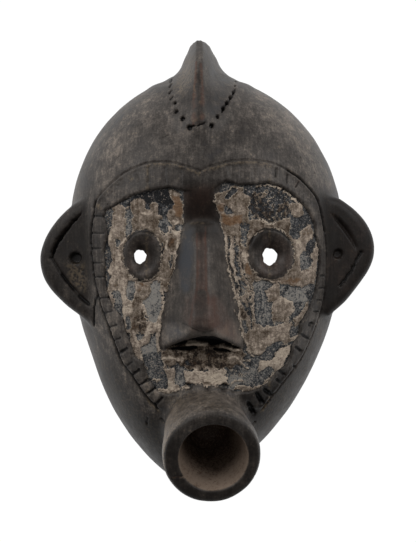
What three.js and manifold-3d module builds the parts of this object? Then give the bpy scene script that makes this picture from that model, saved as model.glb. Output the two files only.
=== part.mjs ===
// A miniature carved wooden mask with a trumpet mouth, lying on the flat rim of its hollow back.
import * as THREE from "three";
import { mergeVertices } from "three/addons/utils/BufferGeometryUtils.js";
import Module from "manifold-3d";

const wasm = await Module();
wasm.setup();

// Driving dimensions in millimetres: X runs across the face, Y up to the crest, Z out of the face
const outside = { topY: 66.4, chinY: -74, halfWidth: 46.2, depth: 42 };
const hollow = { topY: 58.5, chinY: -65.5, halfWidth: 38.5, depth: 31 };
const headLine = { widestY: 14, middleX: -0.6, middleY: 5, crownDrift: 0.0004, chinDrift: 0.00066 };
const domeCurve = {
  across: 2.9,
  up: 2.1,
  crownDepth: 2.3,
  chinDepth: 2.6,
  chinFall: 0.55,
  chinWidth: 2.2,
  chinTaper: 0.75,
};
const domeMesh = { along: 16, across: 26, hollowAlong: 11, hollowAcross: 16, lastAngle: 88.5 };

const border = {
  notch: [-2, 32.1],
  left: [
    [-9, 34.2], [-17.3, 35.1], [-26.5, 32.2], [-35, 24],
    [-38.3, 10], [-36.3, -6], [-31, -22], [-22.8, -37.5],
  ],
  right: [
    [9.8, 36.3], [19.2, 35.2], [28.5, 31], [36, 21.5],
    [38.3, 6], [36, -12], [29.6, -27], [21.8, -38.1],
  ],
  belowMouth: [0, -55],
  steps: 34,
  grooveHalfWidth: 0.75,
  grooveDepth: 0.9,
};
const band = {
  width: 4.6,
  widestAt: 0.18,
  widestOver: 0.13,
  widerLeft: 4.2,
  widerRight: 2.8,
  bottomY: -40.5,
};
const ticks = { perSide: 22, first: 0.05, last: 0.88, start: 1.1, length: 2.4, halfWidth: 0.5, depth: 0.8 };
const sunkFace = {
  centre: [-1, -4],
  radii: [35, 37],
  edge: 1.4,
  dish: 2,
  brow: 3.2,
  browAt: [-2, 24],
  browOver: [8, 9],
  rings: 5,
};

const nose = {
  centreX: -2,
  root: 3,
  softening: 0.25,
  stations: [
    { y: 27, half: 4.6, ridge: 1.6, height: 0.8 },
    { y: 20, half: 5, ridge: 1.6, height: 2 },
    { y: 15.5, half: 5.4, ridge: 1.7, height: 4 },
    { y: 8, half: 7.3, ridge: 1.8, height: 5.8 },
    { y: 0, half: 9, ridge: 2, height: 7.5 },
    { y: -10, half: 11.5, ridge: 2.4, height: 10 },
    { y: -18.5, half: 12.8, ridge: 3, height: 12 },
    { y: -21.5, half: 13.2, ridge: 5, height: 9.6 },
    { y: -24.2, half: 13.2, ridge: 8, height: 3.4 },
  ],
};
const nostrils = {
  slots: [
    [[-12.9, -24.9], [-3, -24.3]],
    [[1.3, -24.5], [8, -25.3]],
  ],
  halfWidth: 0.7,
  depth: 2.2,
};
const eyes = [
  { ring: [-21.2, 4.9], radius: 6.8, hole: [-21.9, 4.5], holeRadius: 2.4 },
  { ring: [20.5, 5.4], radius: 7.6, hole: [19.9, 4.5], holeRadius: 2.75 },
];
const eyeRing = { rise: 2.6, root: 5, flare: 1.1, rim: 1.6, funnel: 3.4, sides: 28 };

const mouth = {
  base: [0.2, -51.3, 30],
  leanDown: 16,
  leanRight: 1.4,
  outline: [[13, -9], [13.3, 0], [14.4, 10], [15.6, 20], [15.7, 23.5], [15.4, 26], [14.7, 26.9]],
  bore: [[5.5, 2], [7, 8], [10.5, 22], [11.5, 26.9], [12.1, 30]],
  boreFloor: 0.5,
  sides: 36,
};
const lipPits = { centres: [[-6.4, -38.1], [-0.2, -37.3], [5.6, -38.1]], radius: 1.4, depth: 2 };

const ears = [
  {
    side: -1,
    centre: [-38, 3.7],
    half: [19.1, 20.4],
    roundness: 1.6,
    fold: [[-41, 19.6], [-52, 4.7], [-39.6, -10.7]],
    pit: [-44.1, 4.2],
    pitRadius: 2,
  },
  {
    side: 1,
    centre: [38, 6.2],
    half: [18.1, 20],
    roundness: 1.62,
    fold: [[39.8, 19.1], [50.6, 6.5], [43.4, -4.2]],
    pit: [43.2, 5.6],
    pitRadius: 1.8,
  },
];
const ear = { frontZ: 25, frontX: 38, sweepBack: 14, thickness: 11, bevel: 1.8, points: 36 };
const earCuts = { foldHalfWidth: 1, foldDepth: 1.3, pitDepth: 1.8 };

const crest = {
  centreX: -2.4,
  ridge: [[46.2, 36.4], [55, 34.6], [64, 31], [71, 25.5], [76.7, 18]],
  halfWidth: [[46.2, 18], [54, 20.5], [60, 18], [65.1, 11.6], [69.2, 7.2], [73.3, 5], [76.7, 2.9]],
  roundness: 1.5,
  stations: 14,
  across: 16,
};
const crestDots = {
  rows: [
    [[-6, 46.5], [-10.6, 52.8], [-12.3, 58.6], [-12.4, 62.9]],
    [[1.3, 47.4], [5.2, 53.8], [8.2, 58.8], [8.9, 62.4]],
  ],
  perRow: 8,
  radius: 0.8,
  depth: 1.3,
};
const pitSides = 8;
const clearance = 2;
const weldWithin = 1e-4;

const wood = new THREE.MeshStandardMaterial({ color: 0x3f3935, roughness: 0.55, metalness: 0 });

// A closed solid through rings of equally many points, with a cap at each end
function loft(rings) {
  const count = rings[0].length;
  const points = rings.flat();
  const index = [];
  for (let start = 0; start < points.length - count; start += count) {
    for (let i = 0; i < count; i++) {
      const j = (i + 1) % count;
      index.push(start + i, start + j, start + count + j);
      index.push(start + i, start + count + j, start + count + i);
    }
  }
  const last = points.length - count;
  const middleOf = (ring) => ring.reduce((sum, p) => sum.add(p), new THREE.Vector3()).divideScalar(count);
  const firstHub = points.push(middleOf(rings[0])) - 1;
  const lastHub = points.push(middleOf(rings.at(-1))) - 1;
  for (let i = 0; i < count; i++) {
    const j = (i + 1) % count;
    index.push(firstHub, j, i);
    index.push(lastHub, last + i, last + j);
  }
  return new THREE.BufferGeometry().setFromPoints(points).setIndex(index);
}

// The geometry as a solid for joining and cutting, with its faces turned outwards
function solidOf(geometry) {
  const bare = new THREE.BufferGeometry();
  bare.setAttribute("position", geometry.getAttribute("position"));
  bare.setIndex(geometry.index);
  const merged = mergeVertices(bare, weldWithin);
  const corners = Array.from(merged.index.array);
  const faces = [];
  for (let i = 0; i < corners.length; i += 3) {
    const face = corners.slice(i, i + 3);
    if (new Set(face).size === 3) faces.push(face);
  }
  const vertProperties = merged.getAttribute("position").array;
  const build = (list) => {
    const triVerts = new Uint32Array(list.flat());
    return new wasm.Manifold(new wasm.Mesh({ numProp: 3, vertProperties, triVerts }));
  };
  const solid = build(faces);
  return solid.volume() > 0 ? solid : build(faces.map((face) => face.reverse()));
}

function joined(solids) {
  return solids.reduce((whole, solid) => whole.add(solid));
}

// Reads a smooth curve through [position, value] pairs
function readCurve(pairs, at) {
  const positions = pairs.map(([position]) => position);
  const values = pairs.map(([, value]) => value);
  return new THREE.CubicInterpolant(positions, values, 1).evaluate(at)[0];
}

// A point of an outline between a diamond and a square, at an angle: with both powers 2 it is a circle
function squarish(angle, across, up = across) {
  const stretched = (value, power) => Math.sign(value) * Math.abs(value) ** (2 / power);
  return [stretched(Math.cos(angle), across), stretched(Math.sin(angle), up)];
}

function inPlan(points) {
  return points.map(([x, y]) => new THREE.Vector3(x, y, 0));
}

// A smooth curve in plan through a few points
function planCurve(points) {
  return new THREE.CatmullRomCurve3(inPlan(points));
}

// The rounded head: its half width and depth at each Y, and the height of its surface at any point
function domeShape({ topY, chinY, halfWidth, depth }) {
  const { widestY, middleX, middleY, crownDrift, chinDrift } = headLine;
  const centreAt = (y) => middleX - (y > middleY ? crownDrift : chinDrift) * (y - middleY) ** 2;
  const reach = (y) => Math.min((y - widestY) / ((y > widestY ? topY : chinY) - widestY), 1);
  const widthAt = (y) => {
    const v = reach(y);
    const chin = (1 - v ** domeCurve.chinWidth) ** domeCurve.chinTaper;
    return halfWidth * (y > widestY ? Math.sqrt(1 - v * v) : chin);
  };
  const depthAt = (y) => {
    const v = reach(y);
    const crown = (1 - v ** domeCurve.crownDepth) ** (1 / domeCurve.up);
    return depth * (y > widestY ? crown : (1 - v ** domeCurve.chinDepth) ** domeCurve.chinFall);
  };
  const heightAt = (x, y) => {
    const u = Math.min(Math.abs(x - centreAt(y)) / widthAt(y), 1);
    return depthAt(y) * (1 - u ** domeCurve.across) ** (1 / domeCurve.up);
  };
  return { topY, chinY, centreAt, widthAt, depthAt, heightAt };
}

// That head as a solid with a flat back, carried below z = 0 by drop
function domeSolid(shape, along, across, drop) {
  const rings = [];
  for (let i = -along; i <= along; i++) {
    const turn = Math.sin(THREE.MathUtils.degToRad((i / along) * domeMesh.lastAngle));
    const y = THREE.MathUtils.lerp(headLine.widestY, turn > 0 ? shape.topY : shape.chinY, Math.abs(turn));
    const ring = [];
    for (let k = 0; k <= across; k++) {
      const [side, rise] = squarish((Math.PI * k) / across, domeCurve.across, domeCurve.up);
      ring.push(new THREE.Vector3(shape.centreAt(y) + shape.widthAt(y) * side, y, shape.depthAt(y) * rise));
    }
    const feet = [ring[0], ring.at(-1)].map(({ x }) => new THREE.Vector3(x, y, -drop));
    rings.push(drop ? [feet[0], ...ring, feet[1]] : ring);
  }
  return solidOf(loft(rings));
}

const head = domeShape(outside);

// The height of the sunk face, which dips towards its middle and most under the brow
function faceHeightAt(x, y) {
  const { centre, radii, browAt, browOver } = sunkFace;
  const inside = 1 - ((x - centre[0]) / radii[0]) ** 2 - ((y - centre[1]) / radii[1]) ** 2;
  const underBrow = Math.exp(-(((x - browAt[0]) / browOver[0]) ** 2) - ((y - browAt[1]) / browOver[1]) ** 2);
  const sunk = sunkFace.edge + sunkFace.dish * Math.max(inside, 0) + sunkFace.brow * underBrow;
  return head.heightAt(x, y) - sunk;
}

// The way square to a path in plan, to its left
function leftOf(path, i) {
  const before = path[Math.max(i - 1, 0)];
  const after = path[Math.min(i + 1, path.length - 1)];
  return new THREE.Vector3(before.y - after.y, after.x - before.x, 0).normalize();
}

// One side of the incised border, read by the share of its length from the notch: a point some way inside
// it, and how wide the band is there
function borderSide(points, side) {
  const curve = planCurve([border.notch, ...points, border.belowMouth]);
  const insideAt = (share, distance) => {
    const { x, y } = curve.getTangentAt(share);
    return curve.getPointAt(share).add(new THREE.Vector3(side * y, -side * x, 0).multiplyScalar(distance));
  };
  const bandAt = (share) => {
    const offset = (share - band.widestAt) / band.widestOver;
    return band.width + (side < 0 ? band.widerLeft : band.widerRight) * Math.exp(-(offset ** 2));
  };
  return { insideAt, bandAt };
}
const borders = [borderSide(border.left, -1), borderSide(border.right, 1)];
const borderShares = Array.from({ length: border.steps + 1 }, (_, i) => i / border.steps);

// A V-shaped cut along a path in plan, following a surface
function vCut(path, surfaceAt, halfWidth, depth) {
  const spread = (halfWidth * (depth + clearance)) / depth;
  const rings = path.map((p, i) => {
    const z = surfaceAt(p.x, p.y);
    const aside = leftOf(path, i).multiplyScalar(spread);
    const top = new THREE.Vector3(p.x, p.y, z + clearance);
    return [top.clone().add(aside), top.clone().sub(aside), new THREE.Vector3(p.x, p.y, z - depth)];
  });
  return solidOf(loft(rings));
}

// A round pit sunk straight down from a surface
function pitCut([x, y], surfaceAt, radius, depth) {
  const top = surfaceAt(x, y) + clearance;
  const pit = new THREE.CylinderGeometry(radius, radius, depth + clearance, pitSides).rotateX(Math.PI / 2);
  return solidOf(pit.translate(x, y, top - (depth + clearance) / 2));
}

// The cut that sinks the heart-shaped face, down to the dished floor
function faceCut() {
  const edges = borders.map(({ insideAt, bandAt }) =>
    borderShares.slice(1, -1).map((share) => {
      const p = insideAt(share, bandAt(share));
      return p.setY(Math.max(p.y, band.bottomY));
    }),
  );
  const edge = [...edges[0], ...edges[1].reverse()];
  const middle = new THREE.Vector3(...sunkFace.centre, 0);
  const rings = [edge.map(({ x, y }) => new THREE.Vector3(x, y, outside.depth + clearance))];
  for (let r = sunkFace.rings; r > 0; r--) {
    const ring = edge.map((p) => middle.clone().lerp(p, r / sunkFace.rings));
    rings.push(ring.map((p) => p.setZ(faceHeightAt(p.x, p.y))));
  }
  return solidOf(loft(rings));
}

function tickCuts() {
  const cuts = [];
  for (const { insideAt } of borders) {
    for (let k = 0; k < ticks.perSide; k++) {
      const share = THREE.MathUtils.lerp(ticks.first, ticks.last, k / (ticks.perSide - 1));
      const ends = [insideAt(share, ticks.start), insideAt(share, ticks.start + ticks.length)];
      cuts.push(vCut(ends, head.heightAt, ticks.halfWidth, ticks.depth));
    }
  }
  return cuts;
}

function noseSolid() {
  const { centreX, root, softening } = nose;
  const rings = nose.stations.map(({ y, half, ridge, height }) => {
    const left = faceHeightAt(centreX - half, y);
    const right = faceHeightAt(centreX + half, y);
    const top = faceHeightAt(centreX, y) + height;
    const shoulder = top - ridge * softening;
    const profile = [
      [-half, left - root],
      [-half, left],
      [-ridge, shoulder],
      [0, top],
      [ridge, shoulder],
      [half, right],
      [half, right - root],
    ];
    return profile.map(([x, z]) => new THREE.Vector3(centreX + x, y, z));
  });
  return solidOf(loft(rings));
}

// A turned solid from [radius, height] pairs, standing along +Z
function turned(profile, sides) {
  const closed = [[0, profile[0][1]], ...profile, [0, profile.at(-1)[1]]];
  return new THREE.LatheGeometry(closed.map((p) => new THREE.Vector2(...p)), sides).rotateX(Math.PI / 2);
}

// Sets a turned shape on the face at a point, square to the surface there
function setOnFace(geometry, [x, y]) {
  const slopeX = faceHeightAt(x + 1, y) - faceHeightAt(x - 1, y);
  const slopeY = faceHeightAt(x, y + 1) - faceHeightAt(x, y - 1);
  const normal = new THREE.Vector3(-slopeX / 2, -slopeY / 2, 1).normalize();
  const turn = new THREE.Quaternion().setFromUnitVectors(new THREE.Vector3(0, 0, 1), normal);
  return solidOf(geometry.applyQuaternion(turn).translate(x, y, faceHeightAt(x, y)));
}

function eyeRingSolid({ ring, radius }) {
  const { rise, root, flare, rim, sides } = eyeRing;
  const profile = [
    [radius + flare, -root],
    [radius + flare, 0],
    [radius, rise / 2],
    [radius - rim / 2, rise],
    [radius - rim, rise],
  ];
  return setOnFace(turned(profile, sides), ring);
}

// The funnel inside an eye ring, and the hole that goes straight through to the hollow back
function eyeCuts({ ring, radius, hole, holeRadius }) {
  const { rise, rim, funnel, sides } = eyeRing;
  const inner = radius - rim;
  const cone = [
    [holeRadius, rise - funnel],
    [inner, rise],
    [inner + clearance, rise + clearance],
  ];
  const bore = turned([[holeRadius, -clearance], [holeRadius, outside.depth + clearance]], sides / 2);
  return [setOnFace(turned(cone, sides), ring), solidOf(bore.translate(hole[0], hole[1], 0))];
}

// The trumpet mouth and its blind bore lean down and a little to one side
function alongMouth(profile) {
  const geometry = turned(profile, mouth.sides);
  geometry.rotateX(THREE.MathUtils.degToRad(mouth.leanDown));
  geometry.rotateY(THREE.MathUtils.degToRad(mouth.leanRight));
  return solidOf(geometry.translate(...mouth.base));
}

function earShape({ half, roundness }) {
  const outline = [];
  for (let i = 0; i < ear.points; i++) {
    const [x, y] = squarish((2 * Math.PI * i) / ear.points, roundness);
    outline.push(new THREE.Vector2(x * (half[0] - ear.bevel), y * (half[1] - ear.bevel)));
  }
  return new THREE.Shape(outline);
}

function earHeightAt(x) {
  const fall = Math.tan(THREE.MathUtils.degToRad(ear.sweepBack));
  return ear.frontZ - (Math.abs(x) - ear.frontX) * fall;
}

function earSolid(one) {
  const { thickness, bevel, sweepBack } = ear;
  const rounded = { bevelThickness: bevel, bevelSize: bevel, bevelSegments: 2 };
  const plate = new THREE.ExtrudeGeometry(earShape(one), { depth: thickness - 2 * bevel, ...rounded });
  plate.translate(0, 0, bevel - thickness);
  plate.rotateY(THREE.MathUtils.degToRad(one.side * sweepBack));
  plate.translate(one.centre[0], one.centre[1], ear.frontZ);
  return solidOf(plate);
}

function crestSolid() {
  const { centreX, ridge, halfWidth, roundness, stations, across } = crest;
  const startY = ridge[0][0];
  const tipY = ridge.at(-1)[0];
  const rings = [];
  for (let s = 0; s < stations; s++) {
    const y = THREE.MathUtils.lerp(startY, tipY, s / (stations - 1));
    const half = readCurve(halfWidth, y);
    const top = readCurve(ridge, y);
    const ring = [];
    for (let k = 0; k <= across; k++) {
      const [side, rise] = squarish((Math.PI * k) / across, roundness);
      ring.push(new THREE.Vector3(centreX + half * side, y, top * rise));
    }
    rings.push(ring);
  }
  return solidOf(loft(rings));
}

// The highest of the head and the crest, which the rows of dots are sunk into
function crestHeightAt(x, y) {
  const half = readCurve(crest.halfWidth, y);
  const u = Math.min(Math.abs(x - crest.centreX) / half, 1);
  const flank = readCurve(crest.ridge, y) * (1 - u ** crest.roundness) ** (1 / crest.roundness);
  return Math.max(flank, head.heightAt(x, y));
}

function crestDotCuts() {
  return crestDots.rows.flatMap((row) =>
    planCurve(row)
      .getPoints(crestDots.perRow - 1)
      .map(({ x, y }) => pitCut([x, y], crestHeightAt, crestDots.radius, crestDots.depth)),
  );
}

// The head with its sunk face, border and ticks, before the features that stand on it
const borderCuts = borders.map(({ insideAt }) => {
  const path = borderShares.map((share) => insideAt(share, 0));
  return vCut(path, head.heightAt, border.grooveHalfWidth, border.grooveDepth);
});
const block = domeSolid(head, domeMesh.along, domeMesh.across, 0);
const carvedHead = block.subtract(faceCut()).subtract(joined([...borderCuts, ...tickCuts()]));

const ridges = [crestSolid(), noseSolid(), alongMouth(mouth.outline)];
const whole = joined([carvedHead, ...ridges, ...ears.map(earSolid), ...eyes.map(eyeRingSolid)]);

const hollowBack = domeSolid(domeShape(hollow), domeMesh.hollowAlong, domeMesh.hollowAcross, clearance);
const cuts = [
  hollowBack,
  alongMouth([[0, mouth.boreFloor], ...mouth.bore]),
  ...eyes.flatMap(eyeCuts),
  ...nostrils.slots.map((slot) => vCut(inPlan(slot), faceHeightAt, nostrils.halfWidth, nostrils.depth)),
  ...lipPits.centres.map((at) => pitCut(at, faceHeightAt, lipPits.radius, lipPits.depth)),
  ...ears.map(({ fold }) => vCut(inPlan(fold), earHeightAt, earCuts.foldHalfWidth, earCuts.foldDepth)),
  ...ears.map(({ pit, pitRadius }) => pitCut(pit, earHeightAt, pitRadius, earCuts.pitDepth)),
  ...crestDotCuts(),
];
const carving = whole.subtract(joined(cuts));

// The finished solid as a mesh, with its origin under the middle of its outline
const { vertProperties, triVerts, numProp } = carving.getMesh();
const geometry = new THREE.BufferGeometry();
const positions = new THREE.InterleavedBuffer(vertProperties, numProp);
geometry.setAttribute("position", new THREE.InterleavedBufferAttribute(positions, 3, 0));
geometry.setIndex(new THREE.BufferAttribute(triVerts, 1));
geometry.computeBoundingBox();
const middle = geometry.boundingBox.getCenter(new THREE.Vector3());
geometry.translate(-middle.x, -middle.y, -geometry.boundingBox.min.z);

const mask = new THREE.Mesh(geometry, wood);
mask.name = "mask";

const miniatureMask = new THREE.Group();
miniatureMask.add(mask);
export default miniatureMask;
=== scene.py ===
import math
import bpy
import numpy as np
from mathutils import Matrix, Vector


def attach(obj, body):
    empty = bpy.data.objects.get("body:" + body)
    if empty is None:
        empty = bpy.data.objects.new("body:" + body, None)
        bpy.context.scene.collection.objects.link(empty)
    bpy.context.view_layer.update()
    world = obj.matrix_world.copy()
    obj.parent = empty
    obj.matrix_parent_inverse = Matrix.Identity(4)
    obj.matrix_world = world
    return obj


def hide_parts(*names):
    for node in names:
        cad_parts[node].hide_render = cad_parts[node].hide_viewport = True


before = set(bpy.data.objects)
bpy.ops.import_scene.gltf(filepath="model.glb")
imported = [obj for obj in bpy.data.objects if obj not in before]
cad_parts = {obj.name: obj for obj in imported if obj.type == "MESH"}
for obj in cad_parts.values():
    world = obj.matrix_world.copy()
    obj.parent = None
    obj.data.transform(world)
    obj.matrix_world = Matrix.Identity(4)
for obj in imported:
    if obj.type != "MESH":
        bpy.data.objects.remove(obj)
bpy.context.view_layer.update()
print("frame loaded")

# Everything is drawn in millimetres: X across the face, Y up to the crest, Z out of the face.
# The reference picture looks straight down on it from above the point (0, 0).
view = {"height": 775, "pixel": 0.33, "sharpAt": 25, "centre": (208, 271), "size": (416, 542)}
shift = (0.487, -1.365)


# numbers

def readCurve(pairs, at):
    places, values = np.array(pairs, float).T
    slopes = np.gradient(values, places)
    i = np.clip(np.searchsorted(places, at) - 1, 0, len(places) - 2)
    width = places[i + 1] - places[i]
    t = np.clip((at - places[i]) / width, 0, 1)
    rise = t * t * (3 - 2 * t)
    ease = t * (1 - t) * ((1 - t) * slopes[i] - t * slopes[i + 1]) * width
    return values[i] * (1 - rise) + values[i + 1] * rise + ease


def smoothStep(low, high, at):
    t = np.clip((at - low) / (high - low), 0, 1)
    return t * t * (3 - 2 * t)


def smoothLow(a, b, radius):  # the lower of two, rounded where they cross
    h = np.clip(0.5 + 0.5 * (b - a) / radius, 0, 1)
    return b * (1 - h) + a * h - radius * h * (1 - h)


def smoothHigh(a, b, radius):
    return -smoothLow(-a, -b, radius)


def smoothLine(points, count, closed=False):
    p = np.array(points, float)
    if closed:
        p = np.concatenate([p[-1:], p, p[:2]])
    else:
        p = np.concatenate([[2 * p[0] - p[1]], p, [2 * p[-1] - p[-2]]])
    t = np.linspace(0, 1, 13)[:-1, None]
    runs = [b + 0.5 * t * (c - a + t * (2 * a - 5 * b + 4 * c - d + t * (3 * b - a - 3 * c + d)))
            for a, b, c, d in zip(p, p[1:], p[2:], p[3:])]
    line = np.concatenate(runs + [p[-2:-1]])
    along = np.concatenate([[0], np.cumsum(np.linalg.norm(np.diff(line, axis=0), axis=1))])
    at = np.linspace(0, along[-1], count)
    return np.stack([np.interp(at, along, line[:, k]) for k in range(2)], axis=1)


def strokeDistance(x, y, line):
    nearest = np.full(x.shape, 1e9)
    for (ax, ay), (bx, by) in zip(line, line[1:]):
        dx, dy = bx - ax, by - ay
        t = np.clip(((x - ax) * dx + (y - ay) * dy) / (dx * dx + dy * dy + 1e-12), 0, 1)
        nearest = np.minimum(nearest, (x - ax - t * dx) ** 2 + (y - ay - t * dy) ** 2)
    return np.sqrt(nearest)


def outlineDistance(x, y, outline):  # below 0 inside
    closed = np.concatenate([outline, outline[:1]])
    inside = np.zeros(x.shape, bool)
    for (ax, ay), (bx, by) in zip(closed, closed[1:]):
        if ay != by:
            inside ^= ((ay > y) != (by > y)) & (x < ax + (y - ay) * (bx - ax) / (by - ay))
    return strokeDistance(x, y, closed) * np.where(inside, -1, 1)


def unevenness(points, cell, seed):  # smooth random heights from -1 to 1, points as rows
    lattice = np.random.default_rng(seed).uniform(-1, 1, (32,) * points.shape[1])
    at = points / cell + 100
    low = np.floor(at).astype(int)
    t = at - low
    t = t * t * (3 - 2 * t)
    total = 0
    for corner in np.ndindex(*(2,) * points.shape[1]):
        weight = np.prod(np.where(corner, t, 1 - t), axis=1)
        total = total + weight * lattice[tuple(((low + corner) % 32).T)]
    return total


class PlanMap:  # a value over the plan of the mask
    left, right, bottom, top = -60, 60, -80, 82

    def __init__(self, step, value=0.0):
        self.step = step
        self.x = np.arange(self.left, self.right + step, step)
        self.y = np.arange(self.bottom, self.top + step, step)
        self.data = np.full((len(self.x), len(self.y)), float(value))

    def grid(self):
        return np.meshgrid(self.x, self.y, indexing="ij")

    def around(self, points, margin):
        low, high = np.min(points, axis=0) - margin, np.max(points, axis=0) + margin
        i = slice(*np.searchsorted(self.x, (low[0], high[0])))
        j = slice(*np.searchsorted(self.y, (low[1], high[1])))
        return (i, j), np.meshgrid(self.x[i], self.y[j], indexing="ij")

    def read(self, x, y):
        u = np.clip((x - self.left) / self.step, 0, len(self.x) - 1.001)
        v = np.clip((y - self.bottom) / self.step, 0, len(self.y) - 1.001)
        i, j = u.astype(int), v.astype(int)
        u, v = u - i, v - j
        d = self.data
        return ((d[i, j] * (1 - u) + d[i + 1, j] * u) * (1 - v)
                + (d[i, j + 1] * (1 - u) + d[i + 1, j + 1] * u) * v)


# the rounded head and the hollow behind it

head = {"topY": 66, "chinY": -74, "halfWidth": 46.2, "depth": 42}
hollow = {"topY": 58.5, "chinY": -65.5, "halfWidth": 38.5, "depth": 31}
headLine = {"widestY": 14, "middleX": -0.6, "middleY": 5, "crownDrift": 0.0004, "chinDrift": 0.00066,
            "slimY": -28, "slimOver": 13, "slimBy": 0.6, "slimAside": 0.25}
domeCurve = {"across": 2.9, "up": 2.1, "crownDepth": 2.3, "chinDepth": 2.6, "chinFall": 0.55,
             "chinWidth": 2.2, "chinTaper": 0.75, "evenness": 0.4, "pastEnds": 1.8}


def domeMeasures(y, shape):  # the middle, half width and depth of the dome at each height
    line, curve = headLine, domeCurve
    drift = np.where(y > line["middleY"], line["crownDrift"], line["chinDrift"])
    slim = np.exp(-((y - line["slimY"]) / line["slimOver"]) ** 2)
    centre = line["middleX"] - drift * (y - line["middleY"]) ** 2 + line["slimAside"] * slim
    up = y > line["widestY"]
    end = np.where(up, shape["topY"], shape["chinY"])
    v = np.clip((y - line["widestY"]) / (end - line["widestY"]), 0, 0.9995)
    width = np.where(up, np.sqrt(1 - v * v), (1 - v ** curve["chinWidth"]) ** curve["chinTaper"])
    crownDepth = (1 - v ** curve["crownDepth"]) ** (1 / curve["up"])
    chinDepth = (1 - v ** curve["chinDepth"]) ** curve["chinFall"]
    depth = np.where(up, crownDepth, chinDepth)
    return centre, width * shape["halfWidth"] - line["slimBy"] * slim, depth * shape["depth"]


def domeArch(across):  # the share of the depth that is left at this share of the half width
    return (1 - across ** domeCurve["across"]) ** (1 / domeCurve["up"])


def domeHeight(x, y, shape):
    centre, width, depth = domeMeasures(y, shape)
    return depth * domeArch(np.clip(np.abs(x - centre) / width, 0, 1))


def domeLevel(x, y, z, shape):  # below 0 inside the dome, but no distance yet
    centre, width, depth = domeMeasures(y, shape)
    across, up = np.abs(x - centre) / width, np.abs(z) / depth
    reach = (across ** domeCurve["across"] + up ** domeCurve["up"]) ** domeCurve["evenness"]
    past = np.maximum(np.maximum(y - shape["topY"], shape["chinY"] - y), 0) / shape["halfWidth"]
    return (reach ** 2 - 1) * (width / shape["halfWidth"]) ** 2 + domeCurve["pastEnds"] * past


def asDistance(level, x, y, z, reach=0.25):
    here = level(x, y, z)
    slope = (level(x + reach, y, z) - here) ** 2 + (level(x, y + reach, z) - here) ** 2
    slope += (level(x, y, z + reach) - here) ** 2
    return here * reach / np.sqrt(slope + 1e-12)


# planes that touch the dome all round keep its field true in the air about its ends
touching = []
domeY, domeU = np.meshgrid(np.linspace(head["chinY"], head["topY"], 160), np.linspace(-1, 1, 61))
domeCentre, domeWidth, domeDepth = domeMeasures(domeY, head)
domeX = domeCentre + domeU * domeWidth
domeZ = domeDepth * domeArch(np.abs(domeU))
for tilt in np.radians(np.linspace(-90, 90, 19)):
    for turn in np.radians(np.linspace(-90, 90, 13)):
        across, along, out = math.cos(tilt) * math.sin(turn), math.sin(tilt), math.cos(tilt) * math.cos(turn)
        touching.append((across, along, out, np.max(domeX * across + domeY * along + domeZ * out)))
planesUnder = {"most": 1.2, "crownLess": 1, "crownY": (52, 62)}  # how far under its flat stretches


def domeDistance(x, y, z):
    nearest = asDistance(lambda *at: domeLevel(*at, head), x, y, z)
    planes = np.full(x.shape, -99.0)
    for across, along, out, far in touching:
        planes = np.maximum(planes, x * across + y * along + z * out - far)
    slack = planesUnder["most"] - planesUnder["crownLess"] * smoothStep(*planesUnder["crownY"], y)
    return np.clip(nearest, planes, planes + slack)


def pointsOf(text):  # "x,y x,y ..." in pixels of the picture
    return np.array([pair.split(",") for pair in text.split()], float)


def fromPicture(points, height):  # pixels to millimetres, on a surface of that height
    p = pointsOf(points) if isinstance(points, str) else np.array(points, float)
    z = 30.0
    for _ in range(4):
        scale = view["pixel"] * (view["height"] - z) / (view["height"] - view["sharpAt"])
        x, y = (p[:, 0] - view["centre"][0]) * scale, (view["centre"][1] - p[:, 1]) * scale
        z = height(x, y) if callable(height) else height
    return np.stack([x, y], axis=1)


# the sunk face inside its carved border

border = {
    "left": "200.5,171.2 197,169.6 183.8,165.4 170.4,162.2 157,161.8 143.6,164 130.2,169.8 118.6,177 "
            "107.9,186.8 99.8,195.7 95.4,204 93,217 91.3,231.4 91.3,245 92.7,262.7 95.4,282.3 99,297 "
            "101.7,308 108.4,325.7 115.5,345.4 122.7,363.2 130.7,373.5 137,383 145,394.5 153.5,404 "
            "158,409",
    "right": "200.5,171.2 204,168.6 213.4,165.4 226.8,161.8 240.2,160 253.6,160.2 266,161.8 "
             "275.9,164.5 284.8,168.9 296.4,176 307,185.9 315.2,196.6 319.8,209 322.8,224 325.2,240 "
             "326.2,255 326.3,270 325.3,285 323,300 319.9,312.5 315.3,326 309.2,341.5 303,354 "
             "297.9,362 290,373 281,385 271,397 262,409",
    "halfWidth": 0.7, "depth": 1, "lip": 0.22, "proud": 0.3, "boldBelow": 23,
}
borderLines = {side: smoothLine(fromPicture(border[side], lambda x, y: domeHeight(x, y, head)), 160)
               for side in ("left", "right")}
sunkFace = {
    "centre": (-1, -4), "radii": (35, 37), "edge": 1.4, "dish": 2,
    "brow": 2.7, "browAt": (-2, 18), "browOver": (8, 7),
    "outline": "114,206 119,202.5 125.7,199 134.6,194.6 147,190.8 159.6,189 168.6,187.4 176,188.5 "
               "184,190.5 200,191 210,191 214,188 219,184.5 226,181 233,182.5 239,185 246,184.5 "
               "257,184 268,182.5 280,186.5 289,192 297,198 304.5,206.4 310,215 313.8,224 315,236 "
               "318.5,249 318.5,263 317,276 315,289.5 312,300 307,311 299.5,324 298.5,334 292,345 "
               "289,357 283.6,366 276,371 271,378 266,383 258.6,388.5 248,391.5 232.7,391.8 226,386 "
               "215,387 200,383.8 190,386 182,389 178,392 168,394 157,390.5 148.6,379 145,370 "
               "143,361.5 134.5,356 130.7,343.6 127,335 124,326 122,318 116,311 113.5,307 109.5,299 "
               "106.5,290 105,280 104.5,270 105,262 104,254 105.5,244 107.5,236 106.5,226 104.5,217 "
               "106,210",
}


faceOutline = fromPicture(sunkFace["outline"], lambda x, y: domeHeight(x, y, head) - sunkFace["edge"])


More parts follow.
